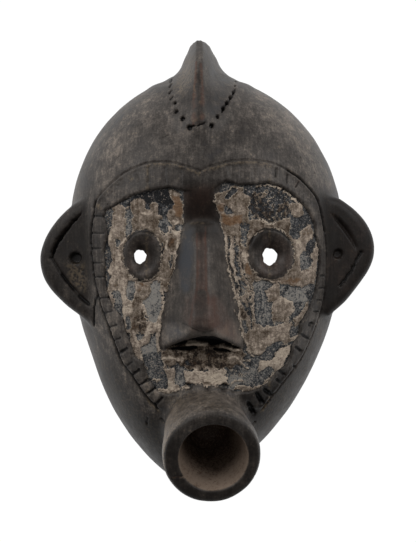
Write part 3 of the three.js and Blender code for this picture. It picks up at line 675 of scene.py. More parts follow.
layers = [
    # left half: the clay that is left in one piece, and over it the black wedge under the brow, part black
    # ground and part painted shadow
    (layClay, 0.6, "113,206 120,204.5 125,206 126,212 131,212 132,203 134.6,199 140,197.6 "
                   "144.5,199.5 146,204 146,209 150,209 150,202.5 156.5,200.6 158,205 157.5,213.6 "
                   "162,216.4 160,219 158.4,224 158.6,230 163,235 170,232 176,231 182,231 179.5,241 "
                   "177.4,256 175.6,268 172,277 163,279 161,282 152,284 151,300 146,306 146,318 "
                   "152,325 158,322 158,331 151,333.4 150,340 142,345.4 141,352 143,362 139,362 "
                   "135,352 129.4,338 124.4,328 122.8,318 122.8,300 111,298 108.6,290 112,278 "
                   "110,268 113.4,258 111,248 107,243 111,236 110.6,228 112.4,216"),
    (layCrumbs, -0.14, "105,212 110,208 112,216 110,230 107,242 110,248 113,256 109.5,269 110,280 "
     "107.5,289 105,280 104,262 106,250 104,243 107,232 106,220"),
    (layBare, -0.3, "127,207 131,200.5 137,195 146,192.2 160,190.6 168,190.4 172.6,198 172.4,203 "
                    "166,204 158.6,203.4 156.6,200 150,201.6 148,206 145.6,203 144.5,199 140,197.2 "
                    "134.6,198.8 132,203 129.6,206"),
    # left cheek: the long clay strip beside the band
    (layClay, 0.5, "114,206.4 118.5,205 123.5,205.5 125.7,210 124.8,217 125.7,222.5 125.3,228 "
                   "125.7,234 119.5,237.7 116,238 116.5,243 117,249 119.5,250 123,256.4 124.8,263.6 "
                   "124.4,270.7 125.7,276 126.6,285 125.7,300 111.4,300 107.9,291 108.8,285 "
                   "111.4,276 109.6,269.8 114,265.4 112.3,258 113.2,251 110.5,248.4 107,243 111,238 "
                   "110.5,230.5 113.2,222.5 112.3,215.4"),
    (layClay, 0.22, "111,230 115,228 116,238 112,240 108,244 109.6,236"),
    (layClay, 0.3, "113,262 119,256 124,262 125,276 127,282 127,290 119,292 109,291 111.4,276 110,270"),
    (layBare, 0.5, "125.8,209 131,211 132.6,216 132,222 133.4,230 132,236 128.4,238 126.2,232 125.6,221"),
    (layCrumbs, -0.3, "126.4,211 130.6,212 132,217 131.4,222 132.6,229 131,235 128.4,236.6 127,231 "
     "126.4,221"),
    (layVein, 0.25, "123,206.6 126.5,209.4 129.8,207.4"),
    (layBare, 0.45, "116.5,239 120.6,239.5 120.5,245 119.5,249 117.2,248 116.4,243"),
    (layClay, 0.85, "124,241 130,238.5 131,244 128,249 123,248.5 122,245"),
    (layBare, 0.15, "126.8,244.6 129,245 129.4,247.6 127.2,247.8"),
    (layVein, 0.3, "119.5,247.5 124.8,239.5 131,235.6"),
    (layVein, 0.22, "119.3,250 120.6,258 122.4,266 122,272"),
    (layBare, 0.75, "112,291.5 117,290 121.5,292 122.7,297 121.8,306 122.7,314 122.3,320 118,318 "
                    "116.4,312 115,304 113,298"),
    (layBare, 0.3, "115.6,305 121,304 122.2,311 121,316 117.4,313"),
    (layClay, 0.3, "107.5,290 111,290 112.4,294 114.4,299 115.4,305 113.8,308.5 111,303 109,296"),
    (layClay, 0.1, "122.7,290 127,284 127.6,296 130,300.5 134.4,300 133.5,310 131,317 133.5,324 "
                   "131.5,327 124.8,327 123.5,321 123.5,312 123,303 122.5,296"),
    (layBare, 0.55, "125.2,319 127.2,315.4 129.6,316 131.4,319 131.9,323 132.4,327.4 130.8,330 "
                    "127.4,329.4 127,324.6 125,323"),
    (layBare, 0.5, "128.6,334.4 131.2,334 131.2,338.4 129.2,338"),
    (layBare, 0.85, "127.4,282 131,280.6 134.8,282.5 135.4,290 134.8,296 133.4,300.6 130,299 127.6,296 "
     "127,290"),
    (layBare, 0.35, "130.6,293 134.6,291 134.4,298 133,300.8 130.6,299"),
    (layVein, 0.3, "135.8,282 135.8,292 134.6,300 132.4,303"),
    # left cheek: the brown mass under the eye and the slate scab beside it
    (layClay, 0.72, "136.4,283 142,281.5 151,281 150.6,288 149,294 143,299.6 141.5,301 143,306 "
                    "144,313 146,320 148.5,325 149,330 145,333 139,332 134,330 133.5,322 132.5,316 "
                    "134.5,309 133.8,302 136,297 136.4,290"),
    (layClay, 0.5, "137,282 150,280.8 150.5,287 147,290 141,288 137,289"),
    (layClay, 1.05, "137,311 142,310 144,318 147,327 143,331 139,328 137.4,320"),
    (layBare, 1.0, "152.5,281 158,279.5 161,284 161.5,293 161.8,302 161.2,311 159.6,317 157,322 "
     "154.5,325.4 151,321.6 147.5,316 144.4,310 143,303 145,300 149,297 151.5,290"),
    (layBare, 0.7, "151.6,303 158,301.6 158.4,310 155,318 151.4,314"),
    (layVein, 0.32, "161.6,272 162.4,290 162.8,303 162.2,312 158.6,319.5 156.5,325"),
    (layVein, 0.3, "142.6,302 145,311 148.5,318 152.4,325"),
    (layClay, 0.05, "149,324 153,323 157,322 158,326 155,329.5 150,330 147,328"),
    (layClay, 0.5, "131,332.9 135,332 146,333 150,339 148.6,343 141.4,345.4 140.5,352.5 143,361.4 "
     "139.6,361.4 136,355 133.4,347 130.7,342.7"),
    (layBare, 0.6, "136.6,333.7 140,332.7 143.8,334 143.4,337 140.5,339 137.6,337.8"),
    (layVein, 0.32, "134.5,331 135.5,337 139,340.8 144,339.8 146.5,336 147,332"),
    (layVein, 0.25, "149,332 152.6,334.6 156.8,334 157.6,343 157.6,353"),
    (layBare, 0.65, "151,336.5 155.6,335.5 156.6,340 156,345.4 152.4,345.8 150.6,341"),
    (layBare, 0.98, "140.5,347 148.6,343.6 152,344.5 156.6,347 157.5,354.3 150,356 143.2,357.9"),
    (layBare, 0.45, "143,353 157,352 160.2,359.6 161,366.8 165.5,368.6 168.2,375.7 168.2,384.6 "
                    "162.9,389 157.5,389.6 153,381 148.6,372 145,365"),
    (layCrumbs, -0.24, "145,361 158,360 166,370 167,388 157.5,389 152,379 147,370"),
    (layVein, 0.35, "140.5,345 142,352 143.2,360"), (layVein, 0.3, "144.5,364.6 147.6,369"),
    (layVein, 0.4, "153,378.6 155,378.3 157,380.4 159.6,378.8"),
    # left half of the lip, and the rough brown wood between it and the nose
    (layClay, 1.1, "168,347 185,341 200,337 213,336 226,341 242,348.6 246,354 243,360 240,366 "
                   "235.6,364.4 232,369 226,366.6 222,371.4 217,367.6 213,371 208,368.4 204.4,372.6 "
                   "200,368.6 195,373 191.6,369 187,371.4 184,366 178,366.4 175,360 168,358 "
                   "165,352.6"),
    (layClay, -0.2, "185,342.8 192,341.2 200,341 208.6,343 209,345.6 198,345.4 187,346.4"),
    (layClay, 0.0, "219,345.4 226,345.8 233,347.6 240.6,350.6 236,351.4 228,349 219.6,347.8"),
    (layClay, 0.95, "170,352 177,352.6 183,356 181,359.6 175,357.6 170,355"),
    (layClay, 0.8, "197,355 203,352 209,354.6 207,359 201,360.4"),
    (layClay, 0.7, "226,357 233,355 239,358.6 235,362 228,361"),
    (layClay, 0.35, "157,322 161.6,317 161,330 159.6,342 161.6,349 157,350 156.6,340 157,330"),
    (layVein, 0.35, "163.6,302 162,312 160,322 158.8,332 158.4,342 159.6,350", 0.08),
    (layClay, 0.95, "161,350 170,350 173,356 176,364 170,366 163,362 160.4,356"),
    (layVein, 0.3, "161,358.6 163.6,357 168,357.6 172.6,356.4 179,359"),
    (layClay, 0.32, "162,360 166,364 168.4,368 173,367 175,371 174,378 176,384 181,386 180,390 171,391 "
     "167,389 169.4,384 166,375 164,368"),
    (layClay, 0.0, "167.6,379 172,381 176,386 181,387 180.4,390.6 173,391 169,386"),
    (layBare, 0.3, "174.5,363.2 177.8,362.6 178.4,366.8 175.2,367.4"),
    (layBare, 0.62, "175.4,371 180,367 184.2,370 184.8,378 184,384.6 178,385 174.8,380 177,375"),
    (layClay, 0.22, "184.6,366 187.6,368.4 190.6,370 194,366.4 197,368.6 200.4,371.6 203.6,368 "
                    "207.4,365 211.4,368.6 215,366.6 219,370 223.6,367.6 227,370 231,374 229.6,380 "
                    "228,384 222,385.6 214,385.8 206,384.4 199.5,387.4 193,384 186,383.6 184.5,375"),
    (layBare, 0.3, "185,359.6 188.2,360 188.8,364.6 185.8,364.8"),
    (layClay, 0.08, "185,371 192,369.4 200,371 206,369 207,378 204,385 196,385 188,383"),
    (layClay, -0.05, "206,372 210,369 216,370.4 226,371 229,378 226,384 214,385 205,385"),
    (layClay, -0.15, "206,374 212,375.4 218,372 224,374 228,378 224,382.6 216,382 210,384 203,381"),
    (layBare, 0.55, "225,374 231,371.6 233,378 230,383.6 226.6,381.6 228,378"),
    (layGap, 0.3, "185,368 190,370.6 193.6,368.4", 0.3),
    (layGap, 0.3, "201,369.6 203.6,371.4 207,368.4", 0.3),
    (layClay, 0.2, "176,387.4 186,384.6 190,388 183,390.6 176,390.4"),
    (layVein, 0.5, "196,386.4 201,388.8 206,390.6", 0.2),
    (layVein, 0.5, "213,385.4 216.6,388 215.6,391", 0.3),
    (layClay, 0.12, "157,387 164,386.4 171,389 181,386.4 186,386 180,391 168,393 158,391.6"),
    # left brow: two lobes above the eye
    (layClay, 0.72, "132,202.5 134.6,199.3 140,197.5 144.5,199.3 145.8,203.8 144.5,207.5 147,212 "
                    "150,213.5 152,211 149.5,206 149,203 152.5,202 156.5,200.6 157.9,204.6 157,210 "
                    "156,214.5 161,216 163,217.4 160,221 158,226 158.4,231 162,237 166,240 160,243 "
                    "156,236 150,231.5 143,231 134,231.5 133,229 134,224 132.5,219 133.5,215 131,210"),
    (layBare, 0.2, "145.6,203.6 148.6,203 149.4,207.4 147.6,210.4 145,208"),
    (layClay, 0.8, "150,215 156,214.6 161,217 159.4,221 157,226 152,222"),
    (layVein, 0.28, "142.6,212.6 147.4,214.6 152,213.4 153,211"),
    (layBare, 0.55, "158.8,220.5 163,217.6 167,219.6 168.8,226.6 166.6,231.6 162.4,231.4 159,227"),
    (layBare, 0.15, "158.6,203.6 166,203.4 171.6,204.6 169.4,210 167,214 163.6,217 159.6,215 158.4,209"),
    (layBare, 0.5, "161.6,209 165.4,206.6 167.4,209.6 164.6,213.6 161.6,213"),
    (layClay, 0.68, "168.6,187.7 174,190.5 179.3,194 182,199 183.8,205 183.8,222 181.8,228 175,231 "
                    "172,226 167.7,220.7 166,215.4 169.5,210 173,203 170.4,195.7"),
    (layClay, 0.45, "168.6,187.7 174,190.5 178,194 179,200 174,203 171,196"),
    (layBare, 0.6, "175.8,226 182,224 182.5,227.5 178.8,230.2 175.6,229.4"),
    (layVein, 0.34, "159.6,228.6 163,232.8 166.4,234 168.4,230.4 170,227.4 173,230.4 175.7,232 181,230.5"),
    (layVein, 0.32, "172.6,221.2 176,224.6 179.6,221.4"),
    (layClay, 0.2, "175.4,232.6 181.5,230.6 180.5,236 178.5,240 176,239.6"),
    (layClay, 0.85, "160.6,240 166,241 172,238 177.6,240 177,254 175.6,266 172,276 165,277 161,270 "
                    "160,255 161,246"),
    (layClay, 1.15, "168.6,241 173,239.6 174.6,249 171,253 168.8,247"),
    (layClay, 0.6, "160.5,254.6 166,252.6 170.6,254.6 170.4,265 166,268.6 161.6,267"),
    (layGap, 0.3, "161.6,243.6 163.8,249 161.4,254"),
    (layVein, 0.25, "167.7,240 165.9,247.5 170.4,253.8 175.7,252.9"), (layVein, 0.28, "159,248 160.4,255"),
    (layGap, 0.25, "172.4,256 171.4,262 171,268"), (layVein, 0.28, "177.5,240 176,254 175.2,262 175,267"),
    (layClay, 0.7, "161.6,272 166,274 171,272 170,282 167,292 163.4,292 161.8,282"),
    # right half: the clay that is left in one piece
    (layClay, 0.75, "213.4,193 218,191.4 226,189.4 233,186 243,186 244,192.6 249.6,196.4 249.6,221 "
                    "257,219.4 263,219.6 270,223.4 276,221 289,216.6 290,228 293,238 298,238.6 "
                    "301,231 307,224 311,225 312,236 309,246 304,254 305,268 312,268 314,280 "
                    "309,284.6 297,287 286,284.4 274,283.4 268,281 255,280 252,284 238,285 231.4,286 "
                    "229,276 226,262 225,246 223.6,232 221,219 216,208"),
    (layClay, 0.68, "231,284 252,283 254,300 252,318 257,327 270,327.6 290,322 300,311 306,302.6 "
                    "308,306 303,315 297,323 293,332 290,342 283,344.6 268,350.6 258,356 250,352 "
                    "245,341 240.6,331 238.6,318 236,300"),
    # right brow: lobes beside the nose, the ochre stain, and the strip towards the ear
    (layClay, 0.75, "213.5,193.5 220,192.5 226,190 229.5,189 228,194 222,199 217,201 214,199"),
    (layBare, 0.1, "224.4,196 228.4,191 231,188.6 236.6,188.6 236,192 232,195 228.6,198.6 225,198.6"),
    (layClay, 0.8, "237,186 242.5,186.5 243,192 239,193.5 236.5,191"),
    (layBare, 0.05, "243.6,186 249.6,189 256.6,184.6 268,184 270,188 262,190.6 254,196 250,196 245,193"),
    (layClay, 0.72, "234,197 239,193.5 244,195 249,196.5 248.5,203 247,210 244,213.5 236,215 228,214 "
     "222,213 217.5,208 215,203 220,201.5 226,203.8 231,201"),
    (layBare, 0.45, "223.6,208 227,206.6 232,209 235,212.6 230,214 225.4,212.6"),
    (layVein, 0.28, "214.3,200 220.5,203.4 226,205.4"), (layVein, 0.25, "223,213.6 230.4,215.4 238.4,217"),
    (layClay, 0.4, "238,205.6 244,206 248,210 245,214 240,212"),
    (layClay, 0.95, "221.5,215 228,214.5 238,217 244,214 244,221 236,225 226,224.5 222.5,220"),
    (layBare, 0.2, "250,198 249.5,190 256,187.5 268,184.5 280,188 288,193 290,200 289,208 289,215 "
     "283,218.5 276,221 270,223 263,221 257,219 252,214 249,208"),
    (layClay, 1.05, "250,194 256,192 262,196 262,202 268,208 276,210 282,205 284,196 289,200 289,213 "
     "283,218 276,220.6 270,222.6 263,220.6 257,218.6 252,213.6 249.6,208"),
    (layCrumbs, 0.0, "250,194 256,192 262,196 262,202 268,208 276,210 282,205 284,196 289,200 289,213 "
     "283,218 276,220 270,222 263,220 257,218 252,213 249.6,208"),
    (layClay, 0.72, "258,197.6 262,193.4 266.6,189.6 269,191.4 265,196.6 261.4,199"),
    (layClay, 0.55, "289,205 292,201.6 297,203 301.6,209 302.6,215 299,218.4 293,217.6 290,214"),
    (layVein, 0.34, "257,187.4 264,185.4 271,185.6 280,188.6 288,194 296,201.4 301.4,207"),
    (layBare, 0.28, "292,219 297,218.4 302.6,214.4 305,210 309,213 311,217 311.5,223.5 307,225 302,229 "
     "298,234 293,237 289.5,234 289,226"),
    (layCrumbs, -0.2, "290,222 297,220 302,220 303,226 297,232 292,235 290,230"),
    (layClay, 0.3, "299,232 303,228 306.4,224 310.6,224.6 311.5,232 309.6,240 306,246 302,243 299,238"),
    (layClay, 0.84, "248,239 250,230 252,223.5 257,221 264,221 270,223.5 276,221.5 283,221 289,219 "
                    "290,225 289,233 293,238.5 297,240 296,244 291,238 284,231.5 273,228.5 262,230 "
                    "254,235 249,244 246,247"),
    (layClay, 0.5, "281.6,220.6 284.6,217 288.4,216 289.4,220 285,223"),
    (layVein, 0.25, "256.6,219.6 262,219.4 269,223.2 273,223.4"),
    (layBare, 0.5, "239.4,223 244,221.6 249,223.4 248.6,229 245.6,236 245.4,244 241.6,247 240.4,240 "
     "241,232"),
    (layCrumbs, -0.08, "239.8,224 244,222.6 248,224.4 247.6,229 244.6,236 244.4,244 241.6,246 241,240 "
     "241.6,232"),
    # right eye's surround
    (layClay, 0.6, "238,249 244,247 248,252 250,262 253.6,270 254,276 248,278 240,272"),
    (layClay, 0.02, "243.6,254.6 247,253.4 249.6,256 248,259 244.6,258.6"),
    (layClay, 1.0, "241.4,260.6 245.6,260.6 247,268 245,273 241.6,270"),
    (layClay, 0.35, "293,239 299,238.6 303,244 303,256 301,268 298,276 293.6,276 296,264 296,250"),
    (layBare, 0.62, "298.6,256.4 303,250 308,254 308.4,268 303.6,272.6 299.6,267"),
    (layBare, 0.12, "305.6,243 309.4,238.6 313.4,239.6 314,247 311,253 306.6,256 304.6,250"),
    (layClay, 0.4, "312.4,248 315.6,246 318,250 317.4,258 314.6,272 314.6,284 309,285 308.6,268 "
                   "311.6,260 310,255"),
    (layVein, 0.3, "315.8,240.6 313.8,244 315.4,248.6"),
    (layClay, 0.42, "255,276 266,279 281,277 292,272 300,268.6 309.6,272 314,280 309,284 297,286 "
                    "286,284 274,283 262,282"),
    (layClay, 0.75, "271,279.6 281,277.6 290,274 296,277 293,282 284,281.6 276,282.6"),
    (layVein, 0.28, "251,271 258,275.6 266,277.6"),
    # right cheek
    (layBare, 0.62, "253.5,285 258,280 264,279.6 268,280 272,284 268,288 262,289.5 257,290.5 254,289"),
    (layClay, 0.46, "264.6,290.4 268,288 274,284 280,283 280.5,297 288,300 292,303 292.5,312 289.5,320 "
     "286,325 280,323 275,324 271.5,320 271.5,310 272.4,303 266.5,301 265,296"),
    (layBare, 0.58, "258,291 264.5,290.4 265,296 266,302 271.5,303.5 272,307 268,308.5 270,314 "
                    "270.4,320 268,324 263.5,325.5 258.5,322 256,314 254.5,306 255,298"),
    (layBare, 0.45, "258,293 263.6,292 264.6,301 260.6,302.6 258,299"),
    (layVein, 0.36, "252.6,293 252.6,308 254,318 257.4,324.4 262,326.8 268,325.6"),
    (layBare, 0.85, "280.5,286.6 286,286 291,287 297,288.6 303,287.6 308,286.6 311.6,290 311,297.6 "
                    "305,303 300,309 294,313 291.5,308 292,301 288,299 284,298.5 280,296 280,290"),
    (layBare, 0.2, "280.2,291 284,288.6 286,285.6 288,288 285,292 284.6,298 280.6,296.6"),
    (layBare, 0.35, "294.6,302 303,300 302,304.6 296,311 292.8,312.6 292.4,307"),
    (layBare, 0.2, "304.6,290 311.6,289.6 311.6,297 307,299.4 305,296"),
    (layVein, 0.34, "280.4,297.4 287,299.4 291.6,301.6 292.6,311"),
    (layClay, 0.9, "273.8,312.6 277,311.6 279,317 277.4,320 274,319.6"),
    (layClay, 0.9, "283.6,314.6 286.4,313 286,319 283.6,323 282,321"),
    (layBare, 0.6, "274.4,321.6 281.6,321.2 281.4,325 275,325.4"), (layGap, 0.25, "289.6,317.4 293.4,323"),
    (layClay, 0.4, "293.5,318 298,313 303,309 305.6,302.4 308,301 307.6,309 304,313 299,318.5 296,322 "
     "293,321"),
    (layClay, 0.42, "252,352 250,343 249,334 252,330 258,328 266,328 275,327 283,325.5 288,322 292,325 "
     "290,332 287,338 280,340 274,344 267,349 261,352.5 255,355"),
    (layClay, 0.78, "252,330.6 262,329.6 270,331 267,336.6 261,338 258,345 253.4,344 251.6,336"),
    (layVein, 0.25, "254,328.4 262,329 272,326 284,323.6", 0.25),
    (layClay, 0.15, "290,338 294,335 297.5,332.5 298.5,335 294.5,339 291,341.5"),
    (layBare, 0.5, "290.6,327 294,324.6 297,327.6 296,334 290,337.6 288.6,334.6"),
    (layBare, 0.4, "288,342.2 292.6,341.4 293.4,344.8 289,345.4"),
    (layBare, 0.45, "281.5,340 283,344 277,348.5 273.5,355.5 267.5,358 262,360.5 257.5,364 257,372 "
                    "260,376 254,382 247,384 248,376 249,368 253,361 258,355.5 264,350.5 266,346.5 "
                    "276,341.5"),
    (layClay, 0.1, "290.7,344.5 289.8,352.5 285.4,357.9 283.6,365.9 276.4,370.4 271,376.6 "
                   "267.5,375.7 272.9,370.4 271,365.9 266.6,365.9 262,369.5 257.7,372 256.8,367.7 "
                   "260.4,361.4 267.5,359.6 272.9,357 274.6,351.6 280.9,347"),
    (layBare, 0.55, "262,373 265,367.6 270.5,366 272.5,370 267.5,376 262,381.5 257,384.5 253,382.5 "
     "257,377"),
    (layClay, 0.25, "269.3,377.5 267.5,382 260.4,386 257.7,389 247.9,390.9 236,390 232.7,391 "
                    "234.5,387.3 240.7,384.8 253.2,385 260.4,383.2 265.7,377.5"),
    (layClay, 0.6, "237,386.4 243,385.6 256,386 254,388.6 240,388.4"),
    (layBare, 1.2, "229,377 233,374 240,376 242.6,379.6 238,383.6 234,386.4 229.6,385.4 228,381"),
    (layBare, 0.8, "240.6,369 248,365 255,369 254,378 248,384 242,382"),
    (layCrumbs, -0.12, "226,369 240,368 250,369 249,377 238,380 228,376"),
    (layVein, 0.3, "230,357.6 236,357.6 241,361.5 243.6,366 248.8,368.4"),
    (layVein, 0.26, "240.7,356 244.3,359.6 249.6,360.5"),
    (layVein, 0.34, "229.6,383.6 235,379.6 241.6,379.4"),
    # strings of clay that run down beside the nose
    (layBare, 0.55, "234.4,246 237.4,245 238.4,262 240.4,276 242,282 238.4,283 235.6,268"),
    (layBare, 0.7, "238,282 243,280.4 246.4,284 244.6,291 242,296 240,294 238,288"),
    (layBare, 0.4, "239.6,299 242,297 245,303 248.4,308 248,312 244.6,309 241.6,305"),
    (layClay, 1.1, "238.4,306 241.6,305.6 244.6,311 247,318 243,319 240,313"),
    (layBare, 0.45, "240.6,319 245,320 247.6,328 245.6,333 241.6,331 240.4,325"),
    (layGap, 0.3, "228.4,238 229.4,250 229.4,264 233,277 235.8,290 239.2,300"),
    (layGap, 0.26, "233.8,238 234.8,262 238.6,281 240.4,294"),
    (layGap, 0.3, "249.4,297 249.2,309 250.4,318 251.4,328"),
    (layGap, 0.22, "240.4,252 241,262 244.6,276 248,284"),
    (layVein, 0.34, "224.6,231 226.4,246 226.6,260 229.4,274 231.4,285 236.4,300 238.2,313 239.2,324 "
     "243.6,336 247,344 249.6,352.5 253.7,356", 0.1),
    (layVein, 0.4, "230.6,243 231.6,262 234,272 237,284 238,296 237.6,303", 0.05),
    (layVein, 0.28, "236.4,236 239,250 240.4,262", 0.5), (layVein, 0.3, "246.6,282 247.6,292 250,296", 0.3),
]
for lay, *settings in layers:
    lay(*settings)

# short scratches: up over the ground of the right brow, and down along the strings beside the nose
scratches = {
    "brow": {"over": (252, 288, 188, 220), "slant": 0, "count": 90, "lean": 0.7, "turn": 0.6, "down": -1,
             "reach": (2, 5), "tones": (0.6, 1.1)},
    "strings": {"over": (227, 249, 232, 322), "slant": 0.14, "count": 46, "lean": 1.35, "turn": 0.12,
                "down": 1, "reach": (5, 12), "tones": (0.1, 0.6)},
}
chance = np.random.default_rng(11)
for s in scratches.values():
    left, right, top, bottom = s["over"]
    for _ in range(s["count"]):
        x, y = chance.uniform(left, right), chance.uniform(top, bottom)
        x += s["slant"] * (y - 260)
        angle, reach = chance.normal(s["lean"], s["turn"]), chance.uniform(*s["reach"])
        line = [(x, y), (x + reach * math.cos(angle), y + s["down"] * reach * abs(math.sin(angle)))]
        if chance.random() < 0.55:
            layVein(chance.uniform(0.08, 0.2), line, chance.uniform(*s["tones"]))
        else:
            layGap(chance.uniform(0.1, 0.2), line, chance.uniform(0, 0.5))

# no clay on the eye rings or outside the face
clay.data = np.minimum(clay.data, 0.2 - faceOutside.read(gridX, gridY))
for eye in eyes:
    ring = (eyeReach(*frayed(gridX, gridY), eye) - 1.0) * eye["radii"][0]
    clay.data = np.minimum(clay.data, ring)
layVein(0.5, "132.4,276.4 134,277.4", 0.05)
x, y = relief.grid()
thick = clay.read(x, y)
nearEdge = (np.abs(clay.read(fineX, fineY)) < net["clayEdge"]) & (faceOutside.read(fineX, fineY) < 0.5)
fineness.data = np.where(nearEdge, np.minimum(fineness.data, net["marks"]), fineness.data)
crust = {"height": 0.3, "lumps": [(1.1, 0.25), (0.5, 0.25)]}
lumps = sum(share * waver(x, y, cell, 41 + k) for k, (cell, share) in enumerate(crust["lumps"]))
relief.data += crust["height"] * smoothStep(-0.12, 0.22, thick) * (1 + lumps)
print("paint laid out")


# broad tints of the wood, with painted light and shade

shade = PlanMap(0.4)        # painted shade above 0, painted light below 0, and darker patina in places
warmth = PlanMap(0.4)       # above 0 reddish, below 0 bluish
# dust, which also paints highlights on the lit lip under the border and the nose root
dust = PlanMap(0.4)
calm = PlanMap(0.4)         # smooth wood, with less grain and dust
crumbs = PlanMap(0.4)       # bare ground with more specks of clay
ochre = PlanMap(0.4)        # rusty stains on the clay


def washOver(plan, outline, amount, soft):
    outline = onFront(outline)
    where, (x, y) = plan.around(outline, soft)
    share = smoothStep(-soft / 2, soft / 2, -outlineDistance(x, y, outline))
    plan.data[where] += amount * share


def streak(plan, line, halfWidth, amount):
    where, off = aroundStroke(plan, onFront(line), halfWidth, 15)
    plan.data[where] += amount * (1 - smoothStep(0.2, 1, off))


washes = [
    # painted shade under the brow and down the nose root, over its dark reddish patina
    (shade, "184,184 216,184 218,204 219,216 220,220 210,222 191,222 184,218", 0.75, 6),
    (shade, "184,222 222,222 224,240 183,240", 0.5, 5), (shade, "188,192 212,192 212,206 190,206", 0.2, 5),
    (shade, "168,172 198,174 198,186 170,185", 0.2, 5), (shade, "195,290 206,290 208,322 194,322", 0.4, 2),
    # painted light on the down-facing tip and wings of the nose
    (shade, "164,322 200,333 236,322 244,348 222,338 200,332 182,338 164,346", -1.1, 3),
    (warmth, "210,326 236,322 242,346 224,338", 0.4, 3),
    (ochre, "222,214 232,216 243,214 242,224 230,226 222,222", 1, 1.5),
    (ochre, "173,196 180,196 183,206 182,216 176,217 172,208", 1, 1.5),
    (ochre, "262,277 286,276 300,278 296,286 270,284", 0.55, 2),
    (ochre, "137,283 150,281 148,292 140,296 136,290", 0.4, 2),
    (ochre, "168,240 174,240 174,250 169,252", 0.35, 1.5),
    (ochre, "214,204 224,203 224,214 216,212", 0.6, 2), (ochre, "243,262 250,262 252,276 244,274", 0.6, 2),
    # painted light on the flanks of the dome
    (shade, "96,190 100,150 124,112 150,94 152,104 132,126 116,160 110,190", -0.85, 8),
    (shade, "258,94 300,120 322,160 330,186 314,186 300,156 280,130 256,106", -0.8, 8),
    (shade, "150,112 200,126 206,150 160,152 140,130", 0.1, 10),
    # painted shade on the left chin beside the mouth
    (shade, "128,424 148,420 166,440 172,492 130,466", 0.9, 6),
    (warmth, "256,414 300,366 330,316 340,330 320,400 262,460", 0.4, 8),
    (dust, "100,330 118,360 140,396 164,420 160,480 120,460 86,380", 0.06, 8),
    (dust, "264,412 300,366 326,320 336,330 320,400 264,452", 0.1, 8),
    (shade, "86,300 112,300 160,400 150,416 118,376 96,330", -0.6, 4),
    (shade, "110,190 132,172 160,162 240,160 270,166 268,178 214,186 150,186 118,204", 0.05, 3),
    (calm, "184,216 222,216 236,300 242,342 222,344 200,338 176,344 165,338 176,290 181,252", 0.6, 3),
    (calm, "178,100 196,38 206,38 234,90 228,110 206,130 186,130", 0.2, 4),
    (calm, "98,320 120,362 140,396 164,420 160,480 120,460 84,380", -0.8, 8),
    (calm, "262,414 300,366 326,320 336,330 320,400 264,456", -0.8, 8),
    (warmth, "184,186 214,186 216,206 220,220 190,222 183,214", 0.6, 8),
    # painted bluish sheen on the nose's left facet and its left wing
    (warmth, "183,230 194,228 194,262 191,296 182,296 178,280 181,252", -0.7, 3),
    (warmth, "164,324 180,322 190,328 186,338 166,346", -0.4, 3),
    (warmth, "197,232 206,232 206,290 197,290", 0.6, 1.4),
    (warmth, "184,292 222,292 236,330 238,344 222,338 200,334 184,336 180,320", 0.5, 4),
    (shade, "125,232 158,232 158,278 125,278", 0.25, 4),
    (shade, "249,230 294,230 294,280 249,280", 0.25, 4),
    (warmth, "125,232 158,232 158,278 125,278", 0.35, 4),
    # painted bluish sheen on the underside of the nose
    (warmth, "176,330 198,332 216,332 236,340 214,336 198,335 180,340", -0.3, 2),
    (shade, "88,200 66,204 36,240 36,265 60,310 92,330 92,260", 0.55, 4),
    (shade, "318,196 340,192 382,230 380,262 326,325 322,300 327,255", 0.85, 4),
    (warmth, "318,196 340,192 382,230 380,262 326,325 322,300 327,255", 0.3, 4),
    (warmth, "205,122 203,80 214,62 232,80 226,104", -0.3, 3),
    # painted shade on the flanks of the crest
    (shade, "205,122 203,80 206,46 214,62 232,80 226,104", 0.3, 3),
    (shade, "186,66 192,46 196,44 195,72 184,84", 0.15, 3),
    (shade, "194.5,74 201,70 203,100 203.4,124 194,124 194.4,100", 0.45, 1.4),
    (warmth, "194.5,74 201,70 203,100 203.4,124 194,124 194.4,100", 0.25, 1.4),
    (dust, "174,88 188,54 194,58 192,82 182,96", 0.4, 3),
    (warmth, "284,176 296,182 312,200 320,222 314,226 304,206 290,190", -0.15, 2),
    (shade, "284,176 296,182 312,200 322,222 325,250 316,250 314,226 304,206 290,190", -0.45, 2),
    (crumbs, "252,186 268,184 284,190 290,200 288,214 272,221 258,218 250,206", 0.2, 2),
    (crumbs, "214,184 232,180 250,182 250,192 236,194 216,196", 0.5, 1.5),
    (crumbs, "104,210 112,208 110,290 104,270", 0.8, 1.5),
    (crumbs, "145,360 160,358 168,372 168,390 156,389", 0.7, 2),
    (crumbs, "226,368 250,366 250,384 228,386", 0.7, 2),
    (shade, "150,160 250,158 250,184 150,186", 0.15, 5),
    # painted shadow in the trench under the lip on the right
    (shade, "240,392 258,389 272,381 284,366 290,372 276,388 262,412 252,424 244,410", 0.6, 3),
    # painted shade on the down-facing jaws
    (shade, "256,414 300,366 330,316 340,330 320,400 262,460", 1.1, 8),
    (shade, "104,350 120,362 140,396 164,420 172,490 120,470 84,380", 0.7, 12),
    (dust, "66,264 84,264 86,292 72,286", 0.35, 3),
    (dust, "168,398 184,392 214,394 236,400 240,410 214,408 190,410 172,424", 0.22, 3),
    (warmth, "262,230 284,230 292,246 292,268 280,278 258,278", 0.4, 3),
    # painted shadow under the top of the right eye ring
    (shade, "248,246 252,236 262,230 274,230 264,238 256,250", 0.5, 2),
]
for plan, outline, amount, soft in washes:
    washOver(plan, outline, amount, soft)
